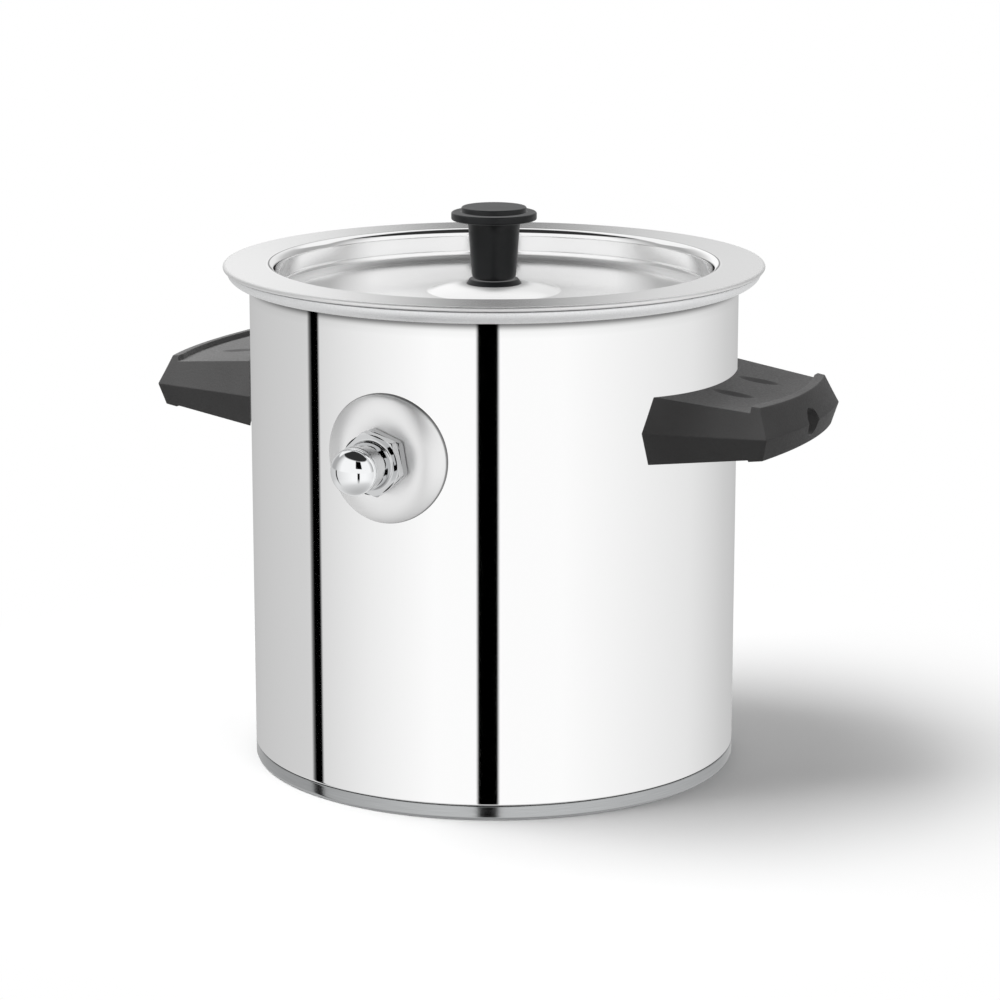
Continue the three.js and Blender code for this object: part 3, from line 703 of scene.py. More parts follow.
# %% Knob and collar
COLLAR_RADIUS, COLLAR_TOP_RADIUS = 8.6 * MM, 7.5 * MM
KNOB_BASE = 6.1 * MM
KNOB_FOOT = (6.95 * MM, 3 * MM)
KNOB_STEM = (7.75 * MM, 11 * MM)
KNOB_NECK = (9.1 * MM, 4.2 * MM)
KNOB_FLANGE = (13.1 * MM, 2.4 * MM)
KNOB_TOP = (10 * MM, 1.6 * MM)
KNOB_ROUND = 0.5 * MM
SOCKET_RADIUS, SOCKET_DEPTH = 3.8 * MM, 11.6 * MM
FOOT_STEPS, NECK_STEPS = 10, 12
KNOB_SIDES = 128

collar_foot, collar_top = (corner[2] for corner in span("knob_collar"))
knob_foot = span("lid_knob")[0][2]


def knob_line():
    """From the socket's roof, out over the base, up the stem, round the flange and disc to the middle."""
    belly_top = knob_foot + KNOB_FOOT[1]
    stem = belly_top + KNOB_STEM[1]
    under = stem + KNOB_NECK[1]
    top = under + KNOB_FLANGE[1]
    roof = knob_foot + SOCKET_DEPTH
    belly = (KNOB_FOOT[0] - KNOB_BASE, KNOB_FOOT[1])
    flare = (KNOB_NECK[0] - KNOB_STEM[0], KNOB_NECK[1])
    socket = [[0, roof], [SOCKET_RADIUS, roof], [SOCKET_RADIUS, knob_foot]]
    foot = ellipse((KNOB_BASE, belly_top), belly, -90, 0, FOOT_STEPS)
    neck = ellipse((KNOB_NECK[0], stem), flare, 180, 90, NECK_STEPS)
    head = rounded([
        (KNOB_NECK[0], under, 0),
        (KNOB_FLANGE[0], under, KNOB_ROUND),
        (KNOB_FLANGE[0], top, KNOB_ROUND),
        (KNOB_TOP[0], top, KNOB_ROUND / 2),
        (KNOB_TOP[0], top + KNOB_TOP[1], KNOB_ROUND),
        (0, top + KNOB_TOP[1], 0),
    ])
    return held(np.vstack([socket, foot, neck, head[1:]]))


collar_line = held(rounded([
    (SCREW_PASS, collar_foot, 0),
    (COLLAR_RADIUS, collar_foot, KNOB_ROUND / 4),
    (COLLAR_TOP_RADIUS, collar_top, KNOB_ROUND / 2),
    (SCREW_PASS, collar_top, 0),
    (SCREW_PASS, collar_foot, 0),
]))
collar = skin("knob_ring", spin(collar_line, KNOB_SIDES))
wear(collar, "lid", "knob_black", knob_black, "knob_collar")
knob = skin("knob_moulding", spin(knob_line(), KNOB_SIDES))
wear(knob, "lid", "knob_black", knob_black, "lid_knob")

# %% [markdown]
# ## Cover plate of the port
# A soft-polished dome hides the hole in the wall. Its rim follows the round wall, while its middle stays
# flat for the nut. So it is turned as a flat plate first, and then each point is pushed back by the
# wall's own drop, R - sqrt(R^2 - x^2), times a share that grows smoothly from the flat to the rim.

# %% Cover plate
PLATE_RADIUS = 19.25 * MM
PLATE_FLAT = 11 * MM
PLATE_HEIGHT = 2.8 * MM
PLATE_STEPS, PLATE_SIDES = 24, 160
SEAT_GAP = 0.3 * MM


def cover_plate():
    """Turned dome, then bent: distance from the axis minus wall drop times smoothstep of the radius."""
    dome = ellipse((PLATE_FLAT, 0), (PLATE_RADIUS - PLATE_FLAT, PLATE_HEIGHT), 0, 90, PLATE_STEPS)
    line = held(np.vstack([dome, [[PORT_PASS, PLATE_HEIGHT]]]))
    grid = spin(pressed(line, SHEET), PLATE_SIDES)
    share = np.clip((np.hypot(grid[..., 0], grid[..., 1]) - PLATE_FLAT) / (PLATE_RADIUS - PLATE_FLAT), 0, 1)
    share = share * share * (3 - 2 * share)
    drop = wall_radius - np.sqrt(wall_radius ** 2 - grid[..., 0] ** 2)
    grid[..., 2] += wall_radius + SEAT_GAP - drop * share
    return out_of_port(grid)


plate = skin("cover_plate", cover_plate())
wear(plate, "vessel", "mirror_steel", soft_steel, "escutcheon")

# %% [markdown]
# ## Lock nut
# A lock nut holds the nozzle. A hexagon is a circle whose radius depends on the angle: flats / 2 divided
# by the cosine of the way from the middle of a flat. A power mean of the six flats rounds the corners a
# little, as on a real nut. A cone at each end cuts the chamfer, so the height of the side's edge is a
# function of the same radius.

# %% Hexagons
HEX_FLATS = 17 * MM
HEX_SOFTNESS = 90
HEX_SIDES = 360
CHAMFER_SLOPE = 2 / 3
NUT_TURN = 10
NOZZLE_THREAD = 5.2 * MM

hex_corner = HEX_FLATS / 2 / math.cos(math.pi / 6)
hex_face = (HEX_FLATS / 2 + hex_corner) / 2
hex_level = np.ones(HEX_SIDES)


def hexagon_rows(foot, top, turn):
    """Four rows of (radius, height) round a hexagon turned by an angle in degrees: lower face, lower edge,
    upper edge, upper face. Radius: flats / 2 divided by the power mean of the cosines to the six flats."""
    angle = np.linspace(0, 2 * np.pi, HEX_SIDES, endpoint=False)[:, None]
    flats = np.radians(np.arange(0, 360, 60) + turn)
    share = np.clip(np.cos(angle - flats), 0, 1)
    radius = HEX_FLATS / 2 / (share ** HEX_SOFTNESS).sum(1) ** (1 / HEX_SOFTNESS)
    rise = np.clip(radius - hex_face, 0, None) * CHAMFER_SLOPE
    face = np.minimum(radius, hex_face)
    return [(face, foot * hex_level), (radius, foot + rise), (radius, top - rise), (face, top * hex_level)]


def ring_rows(line):
    """Rows of (radius, height) that are the same at every angle."""
    return [(radius * hex_level, height * hex_level) for radius, height in line]


def rows_grid(rows):
    """Grid out of the port from rows of (radius, height), one row after the other along the columns."""
    radius, height = np.stack(rows, 2)
    return out_of_port(turned(radius, height, HEX_SIDES))


def reach(node):
    """Nearest and farthest distance of a port piece from the pot's axis."""
    low, high = span(node)
    return -high[1], -low[1]


nut_foot, nut_top = reach("lock_nut")
nut_rows = hexagon_rows(nut_foot, nut_top, NUT_TURN)
bore_rows = ring_rows([(NOZZLE_THREAD, nut_top), (NOZZLE_THREAD, nut_foot)])
nut = skin("port_nut", rows_grid(nut_rows + bore_rows), closed=True)
wear(nut, "vessel", "chrome_plate", nut_nickel, "lock_nut")

# %% [markdown]
# ## Whistle
# The whistle screws onto the nozzle's thread. Its foot is a hexagon like the nut's, and then the same
# grid runs on as a round barrel and back through the stepped bore. The cap is a turned dome with a short
# skirt, pushed into the barrel, and a fine groove stays open between the two. One small hole from below
# lets the steam out.

# %% Whistle body and cap
WHISTLE_TURN = 14
WHISTLE_HEX = 3.2 * MM
BARREL_RADIUS = 6.9 * MM
BARREL_FILLET = 0.8 * MM
BARREL_EDGE = 0.3 * MM
SEAL_BORE, SEAL_DEPTH = 6.9 * MM, 1.8 * MM
DISC_BORE, DISC_SEAT = 6.15 * MM, 7.7 * MM
CAP_SKIRT = 1.2 * MM
CAP_WALL = 1.8 * MM
CAP_SIDES = 160
DOME_STEPS, HOLLOW_STEPS = 32, 12
SPIGOT_RADIUS = 5.85 * MM
STEAM_HOLE, DRILL_SIDES = 1.1 * MM, 32

whistle_foot, whistle_top = reach("whistle_body")
spigot_foot, cap_top = reach("whistle_cap")
cap_foot = whistle_top + SEAT_GAP
dome_foot = cap_foot + CAP_SKIRT


def whistle_rows():
    """Hexagon foot, filleted barrel with a rounded end, then back through the stepped bore."""
    shoulder = whistle_foot + WHISTLE_HEX
    barrel = rounded([
        (hex_face, shoulder, 0),
        (BARREL_RADIUS, shoulder, BARREL_FILLET),
        (BARREL_RADIUS, whistle_top, BARREL_EDGE),
        (DISC_BORE, whistle_top, 0),
        (DISC_BORE, whistle_foot + DISC_SEAT, 0),
        (NOZZLE_THREAD, whistle_foot + DISC_SEAT, 0),
        (NOZZLE_THREAD, whistle_foot + SEAL_DEPTH, 0),
        (SEAL_BORE, whistle_foot + SEAL_DEPTH, 0),
        (SEAL_BORE, whistle_foot, 0),
    ])
    return hexagon_rows(whistle_foot, shoulder, WHISTLE_TURN) + ring_rows(held(barrel)[1:])


def cap_line():
    """Spigot, short skirt and elliptic dome outside, then the dome and bore inside."""
    inside = BARREL_RADIUS - CAP_WALL
    rise = cap_top - dome_foot
    skirt = rounded([
        (inside, spigot_foot, 0),
        (SPIGOT_RADIUS, spigot_foot, 0),
        (SPIGOT_RADIUS, cap_foot, 0),
        (BARREL_RADIUS, cap_foot, BARREL_EDGE),
        (BARREL_RADIUS, dome_foot, 0),
    ])
    outside = ellipse((0, dome_foot), (BARREL_RADIUS, rise), 0, 90, DOME_STEPS)
    hollow = ellipse((0, dome_foot), (inside, rise - CAP_WALL), 90, 0, HOLLOW_STEPS)
    return held(np.vstack([skirt, outside[1:], hollow, [[inside, spigot_foot]]]))


body = skin("whistle_barrel", rows_grid(whistle_rows()), closed=True)
wear(body, "whistle", "chrome_plate", barrel_chrome, "whistle_body")
cap = skin("whistle_dome", out_of_port(spin(cap_line(), CAP_SIDES)))
drill = rod(STEAM_HOLE, 0, 2 * BARREL_RADIUS, DRILL_SIDES) * [1, 1, -1] + [0, -dome_foot, port_height]
cut(cap, skin("drill", drill))
wear(cap, "whistle", "chrome_plate", chrome, "whistle_cap")

# %% [markdown]
# ## The nozzle's thread
# With the whistle off, a brass thread shows. A thread is a radius that depends on angle and height
# together: the wave runs once round while the height grows by one pitch. So the grid's radius is the
# nozzle's own radius minus a depth times a triangle wave of height / pitch - angle / full turn, faded out
# at both ends.

# %% Threaded nozzle
NOZZLE_RADIUS = 5 * MM
NOZZLE_BORE = 3.2 * MM
FLANGE_RADIUS = 8.5 * MM
FLANGE_THICKNESS = 1.5 * MM
PITCH = 1.5 * MM
THREAD_DEPTH = 0.75 * MM
THREAD_ROWS, NOZZLE_SIDES = 160, 96

nozzle_foot, nozzle_tip = reach("inlet_nozzle")


def nozzle_grid():
    """Flange, threaded shank and bore. Thread: radius - depth * triangle wave (height / pitch - turn)."""
    flange_top = nozzle_foot + FLANGE_THICKNESS
    height = np.linspace(flange_top, nozzle_tip, THREAD_ROWS)
    turn = np.arange(NOZZLE_SIDES)[:, None] / NOZZLE_SIDES
    wave = np.abs(2 * ((height / PITCH - turn) % 1) - 1)
    fade = np.clip(np.minimum(height - flange_top, nozzle_tip - height) / PITCH, 0, 1)
    shank = NOZZLE_RADIUS - THREAD_DEPTH * (1 - wave) * fade
    before = np.array([
        [NOZZLE_BORE, nozzle_foot], [FLANGE_RADIUS, nozzle_foot], [FLANGE_RADIUS, flange_top],
    ])
    after = np.array([[NOZZLE_BORE, nozzle_tip], [NOZZLE_BORE, nozzle_foot]])
    level = np.ones((NOZZLE_SIDES, 1))
    radius = np.hstack([level * before[:, 0], shank, level * after[:, 0]])
    rise = np.concatenate([before[:, 1], height, after[:, 1]])
    return turned(radius, rise, NOZZLE_SIDES)


nozzle = skin("threaded_nozzle", out_of_port(nozzle_grid()))
wear(nozzle, "vessel", "brass", brass, "inlet_nozzle")

# %% [markdown]
# ## Handles
# Each handle is a resin block that hugs the wall, draws in towards its bowed end and has a ridge all
# round its middle. The top is sunk behind a rib that stops the fingers from slipping. Top and underside
# slope towards the end, and the facets above and below the ridge lean inwards. So the handle's outline is
# three functions: the height of a slope, the bow of the end line, and the half width at a place.

# %% Slopes, end line and width of a handle
HANDLE_LENGTH = 26.5 * MM
HANDLE_HALF = 31.5 * MM
HANDLE_TAPER = math.tan(math.radians(10))
HANDLE_BULGE = 3.5 * MM
TOP_SLOPE = (9.5 * MM, 6.5 * MM)
UNDER_SLOPE = (-8.8 * MM, -6 * MM)
TOP_INSET = 3.5 * MM
UNDER_INSET = 1.8 * MM
RIB_WIDTH, RIB_HEIGHT = 2.5 * MM, 1.8 * MM
TOE = 0.5 * MM

handle_height = np.mean([corner[2] for corner in span("handle_screw_right")])


def height_at(x, slope):
    """Height of a sloping face, which falls evenly from its value at the wall to its value at the end."""
    return slope[0] + (slope[1] - slope[0]) * (x - wall_radius) / HANDLE_LENGTH


def end_line(inset, y):
    """Bowed end: the arc through both corners, HANDLE_BULGE proud of them, straight past them."""
    corner = wall_radius + HANDLE_LENGTH - inset
    half = HANDLE_HALF - inset
    radius = (half ** 2 + HANDLE_BULGE ** 2) / (2 * HANDLE_BULGE)
    arc = corner + HANDLE_BULGE - radius + np.sqrt(radius ** 2 - np.minimum(np.abs(y), half) ** 2)
    return np.maximum(arc, corner)


def half_width(x, z):
    """Half width at a place: the end's half, plus the taper to the wall, less the facet's inset."""
    upper = TOP_INSET * z / (height_at(x, TOP_SLOPE) + RIB_HEIGHT)
    lower = UNDER_INSET * z / (height_at(x, UNDER_SLOPE) - TOE)
    inset = np.where(z > 0, upper, lower)
    return HANDLE_HALF - inset + (wall_radius + HANDLE_LENGTH - inset - x) * HANDLE_TAPER


print("handle axis at", round(handle_height / MM, 2), "mm")

# %% [markdown]
# ## The handle's section
# One section runs round the block: along the sunk top, over the rib, down the two facets of the end, and
# back along the underside and the wall. It is carried across the handle's width. Each point of the
# section knows how far it lies between the wall and an end line, and how high. Its place across is a
# share of the local half width. Since the end line itself bends with that place, a few rounds of
# substitution settle both. At last two shallow marks are pressed into the top.

# %% Handle section
MARK_START, MARK_SPACING = 8 * MM, 22 * MM
MARK_LENGTH, MARK_WIDTH, MARK_DEPTH = 13 * MM, 5 * MM, 1.3 * MM
STATIONS = 181
SETTLING_ROUNDS = 12
RIB_INSET = TOP_INSET + RIB_WIDTH
# Points up to the next corner, then the corner: share of the way out, inset of its end line, shares of the
# top's and the underside's height, and a lift.
SECTION_CORNERS = (
    (48, 0, RIB_INSET, 1, 0, 0),
    (3, 1, RIB_INSET, 1, 0, 0),
    (3, 1, RIB_INSET, 1, 0, RIB_HEIGHT),
    (6, 1, TOP_INSET, 1, 0, RIB_HEIGHT),
    (6, 1, 0, 0, 0, 0),
    (3, 1, UNDER_INSET, 0, 1, -TOE),
    (1, 1, RIB_INSET, 0, 1, -TOE),
    (20, 1, RIB_INSET, 0, 1, 0),
    (8, 0, RIB_INSET, 0, 1, 0),
    (8, 0, RIB_INSET, 0, 0, 0),
)
END_RIDGE_CORNER, WALL_RIDGE_CORNER = 4, 9

section_counts = [corner[0] for corner in SECTION_CORNERS]
end_ridge = sum(section_counts[:END_RIDGE_CORNER])
wall_ridge = sum(section_counts[:WALL_RIDGE_CORNER])


def handle_section():
    """Straight runs between the corners: start * (1 - s) + end * s, with s growing evenly along a run."""
    starts = np.array([corner[1:] for corner in SECTION_CORNERS], float)
    ends = np.roll(starts, -1, axis=0)
    share = np.concatenate([np.arange(count) / count for count in section_counts])[:, None]
    return np.repeat(starts, section_counts, 0) * (1 - share) + np.repeat(ends, section_counts, 0) * share


def handle_grid():
    """Section carried across the width: x between wall and end line, z from the slopes, y a share."""
    out, inset, top, under, lift = handle_section().T
    across = np.linspace(-1, 1, STATIONS)[:, None]
    y = across * HANDLE_HALF + 0 * out
    for _ in range(SETTLING_ROUNDS):
        wall = np.sqrt((wall_radius + SEAT_GAP) ** 2 - y ** 2)
        x = wall + out * (end_line(inset, y) - wall)
        z = top * height_at(x, TOP_SLOPE) + under * height_at(x, UNDER_SLOPE) + lift
        y = across * half_width(x, z)
    mark = ((x - wall_radius - MARK_START) / (MARK_LENGTH / 2)) ** 2
    mark = mark + ((np.abs(y) - MARK_SPACING / 2) / (MARK_WIDTH / 2)) ** 2
    z = z - np.where(out * (lift == 0) * top > 0, MARK_DEPTH * np.clip(1 - mark, 0, None), 0)
    return np.stack([x, y, z + handle_height], 2)


print("section of a handle has", sum(section_counts), "points")

# %% [markdown]
# ## Finishing the handles
# The grid's two open ends are closed by flat side faces, an upper and a lower one that meet in the ridge.
# A small bevel rounds every edge, since a moulding has none that is razor sharp. Then one stepped tool is
# cut out along the screw's axis: the pocket for the bracket, the screw's passage and the wide hole in the
# end.

# %% Both handles
EDGE_ROUND, EDGE_STEPS = 0.22 * MM, 3
EDGE_ANGLE, HANDLE_SHARP = 32, 60
BRACKET_POCKET, BRACKET_FLANGE = 7.3 * MM, 2.3 * MM
BOSS_POCKET, BOSS_LENGTH = 4.8 * MM, 11.3 * MM
HOLE_RADIUS = 4.25 * MM
SEAT_WALL = 3 * MM
SCREW_SIDES = 64
HANDLE_TURNS = {"right": np.array([1, 1, 1]), "left": np.array([-1, -1, 1])}


def outwards(grid):
    """Turns a grid about Z so that its axis points along +X at the handles' height."""
    return np.stack([grid[..., 2], grid[..., 1], handle_height - grid[..., 0]], -1)


def side_faces(columns):
    """Upper and lower face at each end of the grid, as point numbers round the section."""
    upper = np.r_[wall_ridge:columns, 0:end_ridge + 1]
    lower = np.arange(end_ridge, wall_ridge + 1)
    last = (STATIONS - 1) * columns
    return [upper.tolist(), lower.tolist(), (last + upper).tolist(), (last + lower).tolist()]


def screw_way():
    """Stepped tool along the screw: bracket pocket, boss pocket, screw passage, wide hole."""
    near, far = wall_radius / 2, wall_radius + 2 * HANDLE_LENGTH
    flange, boss = wall_radius + BRACKET_FLANGE, wall_radius + BOSS_LENGTH
    seat = boss + SEAT_WALL
    return spin(np.array([
        (0, near), (BRACKET_POCKET, near), (BRACKET_POCKET, flange), (BOSS_POCKET, flange),
        (BOSS_POCKET, boss), (SCREW_PASS, boss), (SCREW_PASS, seat), (HOLE_RADIUS, seat),
        (HOLE_RADIUS, far), (0, far),
    ]), SCREW_SIDES)


def handle(side, turn):
    """One handle: closed grid, bevelled edges, stepped hole, normals that favour the large faces."""
    grid = handle_grid()
    caps = side_faces(grid.shape[1])
    piece = skin(f"handle_grip_{side}", grid * turn, around=False, closed=True, caps=caps)
    edges = piece.modifiers.new("edges", "BEVEL")
    edges.width = EDGE_ROUND
    edges.segments = EDGE_STEPS
    edges.limit_method = "ANGLE"
    edges.angle_limit = math.radians(EDGE_ANGLE)
    cut(piece, skin("screw_way", outwards(screw_way()) * turn), HANDLE_SHARP)
    piece.modifiers.new("flatness", "WEIGHTED_NORMAL").keep_sharp = True
    wear(piece, "vessel", "bakelite", resin, f"handle_{side}")


for side, turn in HANDLE_TURNS.items():
    handle(side, turn)

# %% [markdown]
# ## Screws, washers and seals
# Small turned things hold it all together. A slotted screw is a turned head and shank with one straight
# cut. A washer, seal or disc is a ring with slightly broken edges, and its size comes straight from its
# solid's box.

# %% Screws and rings
SCREW_RADIUS, SCREW_LENGTH = 2 * MM, 12 * MM
HEAD_RADIUS, HEAD_HEIGHT = 3.5 * MM, 2.4 * MM
SLOT_WIDTH, SLOT_DEPTH = 1 * MM, 1.2 * MM
RING_EDGE, RING_STEPS, RING_SIDES = 0.1 * MM, 3, 96
ALONG_X, ALONG_Y, ALONG_Z = 0, 1, 2


def slotted_screw(name, place):
    """Turned cheese head above height 0 and shank below it, placed by a function, with a slot across."""
    profile = held(rounded([
        (0, -SCREW_LENGTH, 0),
        (SCREW_RADIUS, -SCREW_LENGTH, SCREW_RADIUS / 4),
        (SCREW_RADIUS, 0, 0),
        (HEAD_RADIUS, 0, RING_EDGE),
        (HEAD_RADIUS, HEAD_HEIGHT, 3 * RING_EDGE),
        (0, HEAD_HEIGHT, 0),
    ]))
    piece = skin(name, place(spin(profile, SCREW_SIDES)))
    edge = np.array([[-1, -1], [1, -1], [1, 1], [-1, 1]]) * [SLOT_WIDTH / 2, SLOT_DEPTH] + [0, HEAD_HEIGHT]
    ends = np.array([-1, 1])[:, None] * 2 * HEAD_RADIUS
    saw = np.stack([edge[:, 0] + 0 * ends, ends + 0 * edge[:, 0], edge[:, 1] + 0 * ends], 2)
    cut(piece, skin("saw", place(saw), around=False, closed=True, caps=[[0, 1, 2, 3], [4, 5, 6, 7]]))
    return piece


def ring(node, bore, axis, body, slot, finish):
    """Flat ring with broken edges on a solid's own box: outer radius and both faces come from the box."""
    low, high = span(node)
    side = (axis + 1) % 3
    outer = (high[side] - low[side]) / 2
    foot, top = low[axis], high[axis]
    grid = spin(rounded([
        (bore, foot, 0),
        (outer, foot, RING_EDGE),
        (outer, top, RING_EDGE),
        (bore, top, RING_EDGE),
        (bore, foot, 0),
    ], RING_STEPS), RING_SIDES)
    laid = [grid[..., [2, 0, 1]], grid[..., [1, 2, 0]], grid][axis]
    middle = (low + high) / 2
    middle[axis] = 0
    wear(skin(f"{node}_ring", laid + middle), body, slot, finish, node)


knob_head = [0, 0, span("knob_screw")[0][2] + HEAD_HEIGHT]
knob_screw = slotted_screw("lid_screw", lambda grid: grid * [1, -1, -1] + knob_head)
wear(knob_screw, "lid", "screw_steel", screw_steel, "knob_screw")
handle_head = [0, 0, span("handle_screw_right")[1][0] - HEAD_HEIGHT]
for side, turn in HANDLE_TURNS.items():
    grip_screw = slotted_screw(f"grip_screw_{side}", lambda grid: outwards(grid + handle_head) * turn)
    wear(grip_screw, "vessel", "screw_steel", screw_steel, f"handle_screw_{side}")
    ring(f"handle_washer_{side}", SCREW_PASS, ALONG_X, "vessel", "screw_steel", screw_steel)
ring("knob_washer", SCREW_PASS, ALONG_Z, "lid", "screw_steel", screw_steel)
ring("whistle_gasket", PORT_PASS, ALONG_Y, "whistle_seal", "rubber", seal_rubber)

# %% [markdown]
# ## What stays hidden
# Some solids are sealed inside and have the right shape already: the aluminium disc in the base, the
# welded brackets, the jacket's seal, the whistle's two discs and the knob's insert. They keep their
# meshes and only get a finish, so that an opened or exploded view looks right too.

# %% Finishes for the hidden solids
HIDDEN = {
    "base_core": aluminium,
    "nozzle_gasket": seal_rubber,
    "knob_insert": brass,
    "whistle_disc_inner": brass,
    "whistle_disc_outer": brass,
    "handle_bracket_right": screw_steel,
    "handle_bracket_left": screw_steel,
}
for node, finish in HIDDEN.items():
    frame["nodes"][node].material_slots[0].material = finish
print("hidden solids with a finish:", len(HIDDEN))

# %% [markdown]
# ## No mirror image of the black pieces
# In the picture the polished steel shows no image of the handles or the knob, as if they had been lit
# apart from the pot. An object can be hidden from one kind of ray: here the black pieces and what fastens
# them are hidden from glossy rays.

# %% Handles, knob and fixings hidden from glossy rays
UNMIRRORED = ("handle_", "grip_screw_", "knob_", "lid_screw")
unmirrored = [piece for piece in bpy.data.objects if piece.name.startswith(UNMIRRORED)]
for piece in unmirrored:
    piece.visible_glossy = False
print("pieces and solids that throw no mirror image:", len(unmirrored))

# %% [markdown]
# ## Floor
# The boiler stands on a plain pale floor, a large disc. Near the pot it takes the light and the soft
# shadow. Further out it fades into the white of the background, so no horizon shows. The pot's mirror
# walls look down at the floor all round, and there they should see the photographer's white tent, so the
# floor is hidden from glossy rays.

# %% Floor
FLOOR_RADIUS, FLOOR_MIDDLE = 12.0, 0.5
FLOOR_SIDES = 96
FLOOR_DROP = 0.1 * MM
FLOOR_NEAR, FLOOR_FAR = 0.1, 0.24
FLOOR_PALE, FLOOR_BOUNCE = 0.86, 0.2
BACKGROUND = 1.0
WHITE = (1, 1, 1, 1)


def bare_tree(owner):
    """Empty node tree of a material or a world."""
    owner.use_nodes = True
    owner.node_tree.nodes.clear()
    return owner.node_tree


def floor_finish():
    """Diffuse near the pot, white for the camera further out. Bounced light sees a greyer floor."""
    made = bpy.data.materials.new("pale floor")
    tree = bare_tree(made)
    seen = add(tree, "ShaderNodeLightPath").outputs["Is Camera Ray"]
    place = add(tree, "ShaderNodeTexCoord").outputs["Object"]
    distance = add(tree, "ShaderNodeVectorMath", {0: place}, operation="LENGTH").outputs["Value"]
    fade = mapped(tree, distance, FLOOR_NEAR, FLOOR_FAR, interpolation_type="SMOOTHSTEP")
    tone = mapped(tree, seen, 0, 1, FLOOR_BOUNCE, FLOOR_PALE)
    level = add(tree, "ShaderNodeMath", {0: seen, 1: BACKGROUND}, operation="MULTIPLY").outputs["Value"]
    matt = add(tree, "ShaderNodeBsdfDiffuse", {"Color": tone}).outputs["BSDF"]
    glow = add(tree, "ShaderNodeEmission", {"Color": WHITE, "Strength": level}).outputs["Emission"]
    mix = add(tree, "ShaderNodeMixShader", {"Fac": fade, 1: matt, 2: glow}).outputs["Shader"]
    add(tree, "ShaderNodeOutputMaterial", {"Surface": mix})
    return made


floor_line = np.array([[0, -FLOOR_DROP], [FLOOR_MIDDLE, -FLOOR_DROP], [FLOOR_RADIUS, -FLOOR_DROP]])
floor = skin("floor", spin(floor_line, FLOOR_SIDES))
floor.data.materials.append(floor_finish())
floor.visible_glossy = False
print("floor radius", FLOOR_RADIUS, "m")

# %% [markdown]
# ## The tent
# Polished steel has no colour of its own: it shows what stands round it. For such pictures a photographer
# builds a white tent and hangs a few black cards in it, whose reflections draw the metal's shape. Here
# the world is that tent, for glossy rays only. Its low part, which the wall mirrors, is white towards the
# camera and greyer behind, with two black cards that draw the two stripes. Its upper part, for the lid
# and the port, has one wider card in front and a narrow dark notch in the white behind. The ceiling is
# black, and starts lower in front than behind.

# %% Tent tones by angle and height
LOW_CARDS = ((-7.6, 2.4), (-95.6, -89.4))
HIGH_CARDS = ((-14.0, 14.0),)
CARD_EDGE = 0.1
CARD_BLACK = 0.0
LOW_TONES = ((-180, 0.50), (-150, 0.56), (-100, 0.64), (-60, 0.86), (-28, 1.0), (32, 1.0), (75, 0.88),
             (105, 0.80), (140, 0.62), (180, 0.50))
HIGH_TONES = ((-180, 0.14), (-179.2, 0.14), (-178.4, 0.75), (-177.8, 1.0), (-166, 1.0), (-150, 0.7),
              (-125, 0.4), (-100, 0.42), (-70, 0.97), (70, 0.97), (100, 0.42), (125, 0.4), (150, 0.55),
              (166, 0.8), (177.6, 0.85), (178.3, 0.75), (179.1, 0.14), (180, 0.14))
FRONT_DOME = ((-90, 0.48), (-50, 0.65), (-28, 0.95), (42, 0.95), (48, 0.03), (90, 0.03))
BACK_DOME = ((-90, 0.48), (-50, 0.65), (-28, 0.95), (60, 0.95), (66, 0.03), (90, 0.03))
FRONT_SHARE = ((-90, 1.0), (-45, 1.0), (-24, 0.0), (42, 0.0), (46, 1.0), (90, 1.0))
BACK_SHARE = ((-90, 1.0), (-45, 1.0), (-24, 0.0), (27, 0.0), (31, 1.0), (90, 1.0))
HIGH_SHARE = ((-90, 0.0), (-5, 0.0), (-2, 1.0), (90, 1.0))
CARD_SHARE = ((-90, 0.0), (12.5, 0.0), (13, 1.0), (90, 1.0))


def compass_stops(stops, cards):
    """Tent tones by angle from the camera's direction, with each card as a sharp dark gap."""
    angles, tones = np.array(stops).T
    for left, right in cards:
        ends = (left - CARD_EDGE, right + CARD_EDGE)
        stops = [stop for stop in stops if not ends[0] <= stop[0] <= ends[1]]
        stops += [(angle, float(np.interp(angle, angles, tones))) for angle in ends]
        stops += [(left, CARD_BLACK), (right, CARD_BLACK)]
    return [(0.5 + angle / 360, tone) for angle, tone in sorted(stops)]


def climb_stops(stops):
    """Stops by elevation in degrees, as positions of (sine + 1) / 2."""
    return [((math.sin(math.radians(angle)) + 1) / 2, tone) for angle, tone in stops]


print("tent stops round the compass:", len(compass_stops(LOW_TONES, LOW_CARDS)))

# %% [markdown]
# ## The world
# The tones become colour ramps, by the angle round the compass and by the height above the horizon. Walls
# and ceiling are then blended by their shares. Glossy rays see the tent, camera rays a plain pale
# background, and diffuse rays a soft even light.

# %% World
FRONT_FADE = (-0.35, -0.25)
DIFFUSE_FILL = 0.1


def blend(tree, share, first, second):
    """First where the share is 0, second where it is 1."""
    return add(tree, "ShaderNodeMixRGB", {"Fac": share, "Color1": first, "Color2": second}).outputs["Color"]


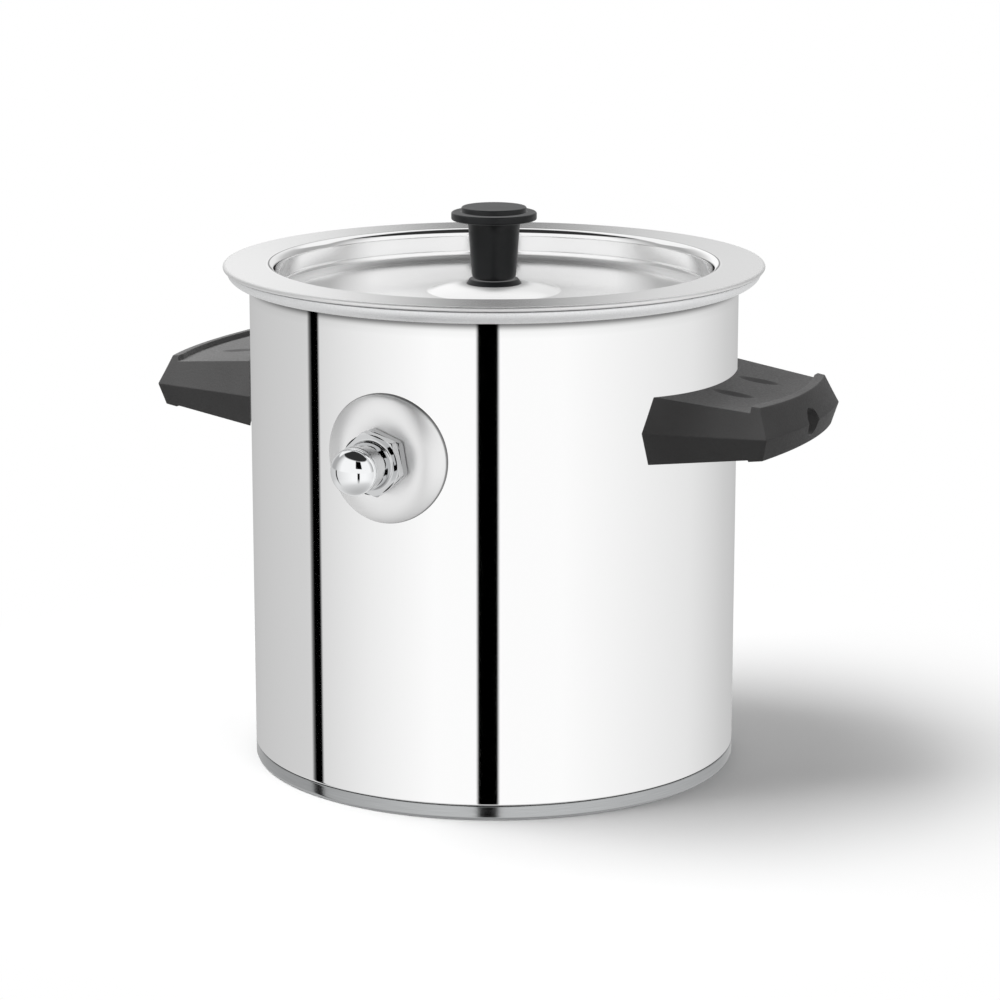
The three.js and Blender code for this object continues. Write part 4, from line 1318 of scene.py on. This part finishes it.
def tent_tone(tree):
    """Tone of the tent in a direction: walls by angle and height, dome by height, in front and behind."""
    place = add(tree, "ShaderNodeTexCoord").outputs["Generated"]
    turn = {"Vector": place, "Rotation": (0, 0, math.pi / 2 - CAMERA_AZIMUTH)}
    facing = add(tree, "ShaderNodeMapping", turn).outputs["Vector"]
    compass = add(tree, "ShaderNodeTexGradient", {"Vector": facing}, gradient_type="RADIAL").outputs["Fac"]
    parts = add(tree, "ShaderNodeSeparateXYZ", {"Vector": facing}).outputs
    height = mapped(tree, parts["Z"], -1, 1)
    front = mapped(tree, parts["X"], *FRONT_FADE)
    round_low = ramp_of(tree, compass, compass_stops(LOW_TONES, LOW_CARDS))
    round_bare = ramp_of(tree, compass, compass_stops(HIGH_TONES, ()))
    round_high = ramp_of(tree, compass, compass_stops(HIGH_TONES, HIGH_CARDS))
    high_share, card_share, back_dome, front_dome, back_share, front_share = (
        ramp_of(tree, height, climb_stops(stops))
        for stops in (HIGH_SHARE, CARD_SHARE, BACK_DOME, FRONT_DOME, BACK_SHARE, FRONT_SHARE)
    )
    walls = blend(tree, high_share, round_low, blend(tree, card_share, round_bare, round_high))
    dome = blend(tree, front, back_dome, front_dome)
    return blend(tree, blend(tree, front, back_share, front_share), walls, dome)


def studio_world():
    """Glossy rays see the tent, camera rays the background, all others an even fill."""
    world = bpy.data.worlds.new("white tent")
    bpy.context.scene.world = world
    tree = bare_tree(world)
    rays = add(tree, "ShaderNodeLightPath").outputs
    mirrored = {0: rays["Is Glossy Ray"], 1: rays["Is Transmission Ray"]}
    glossy = add(tree, "ShaderNodeMath", mirrored, operation="MAXIMUM").outputs["Value"]
    fill, tent, backdrop = (
        add(tree, "ShaderNodeBackground", {"Color": color, "Strength": strength}).outputs["Background"]
        for color, strength in ((WHITE, DIFFUSE_FILL), (tent_tone(tree), 1.0), (WHITE, BACKGROUND))
    )
    lit = add(tree, "ShaderNodeMixShader", {"Fac": glossy, 1: fill, 2: tent}).outputs["Shader"]
    seen = {"Fac": rays["Is Camera Ray"], 1: lit, 2: backdrop}
    whole = add(tree, "ShaderNodeMixShader", seen).outputs["Shader"]
    add(tree, "ShaderNodeOutputWorld", {"Surface": whole})
    print("world nodes:", len(tree.nodes))


studio_world()

# %% [markdown]
# ## Lamps
# The black mouldings and the floor need real light. Three large soft panels do it: a key from the upper
# left, a weaker fill from the right and one from above. A panel that should give a white surface the
# brightness k at a distance d needs k * pi^2 * d^2 watts. They are hidden from glossy rays, because the
# steel already has its tent.

# %% Lamps
TARGET = np.array([0, 0, 0.08])
LAMPS = (
    ("key", (-1.1, -0.5, 1.9), 1.5, 1.2),
    ("fill", (1.4, -1.0, 0.7), 1.0, 0.15),
    ("top", (0.1, 0.3, 1.8), 1.6, 0.35),
)
for name, spot, size, level in LAMPS:
    panel = bpy.data.lights.new(name, "AREA")
    panel.size = size
    way = np.array(spot) - TARGET
    panel.energy = level * math.pi ** 2 * float(way @ way)
    lamp = bpy.data.objects.new(name, panel)
    lamp.location = spot
    lean = math.acos(way[2] / np.linalg.norm(way))
    lamp.rotation_euler = (lean, 0, math.atan2(way[1], way[0]) + math.pi / 2)
    lamp.visible_glossy = False
    bpy.context.scene.collection.objects.link(lamp)
    print(name, "lamp:", round(panel.energy, 1), "W")

# %% [markdown]
# ## Colour
# The Standard view shows a colour as it is written.

# %% View transform
bpy.context.scene.view_settings.view_transform = "Standard"
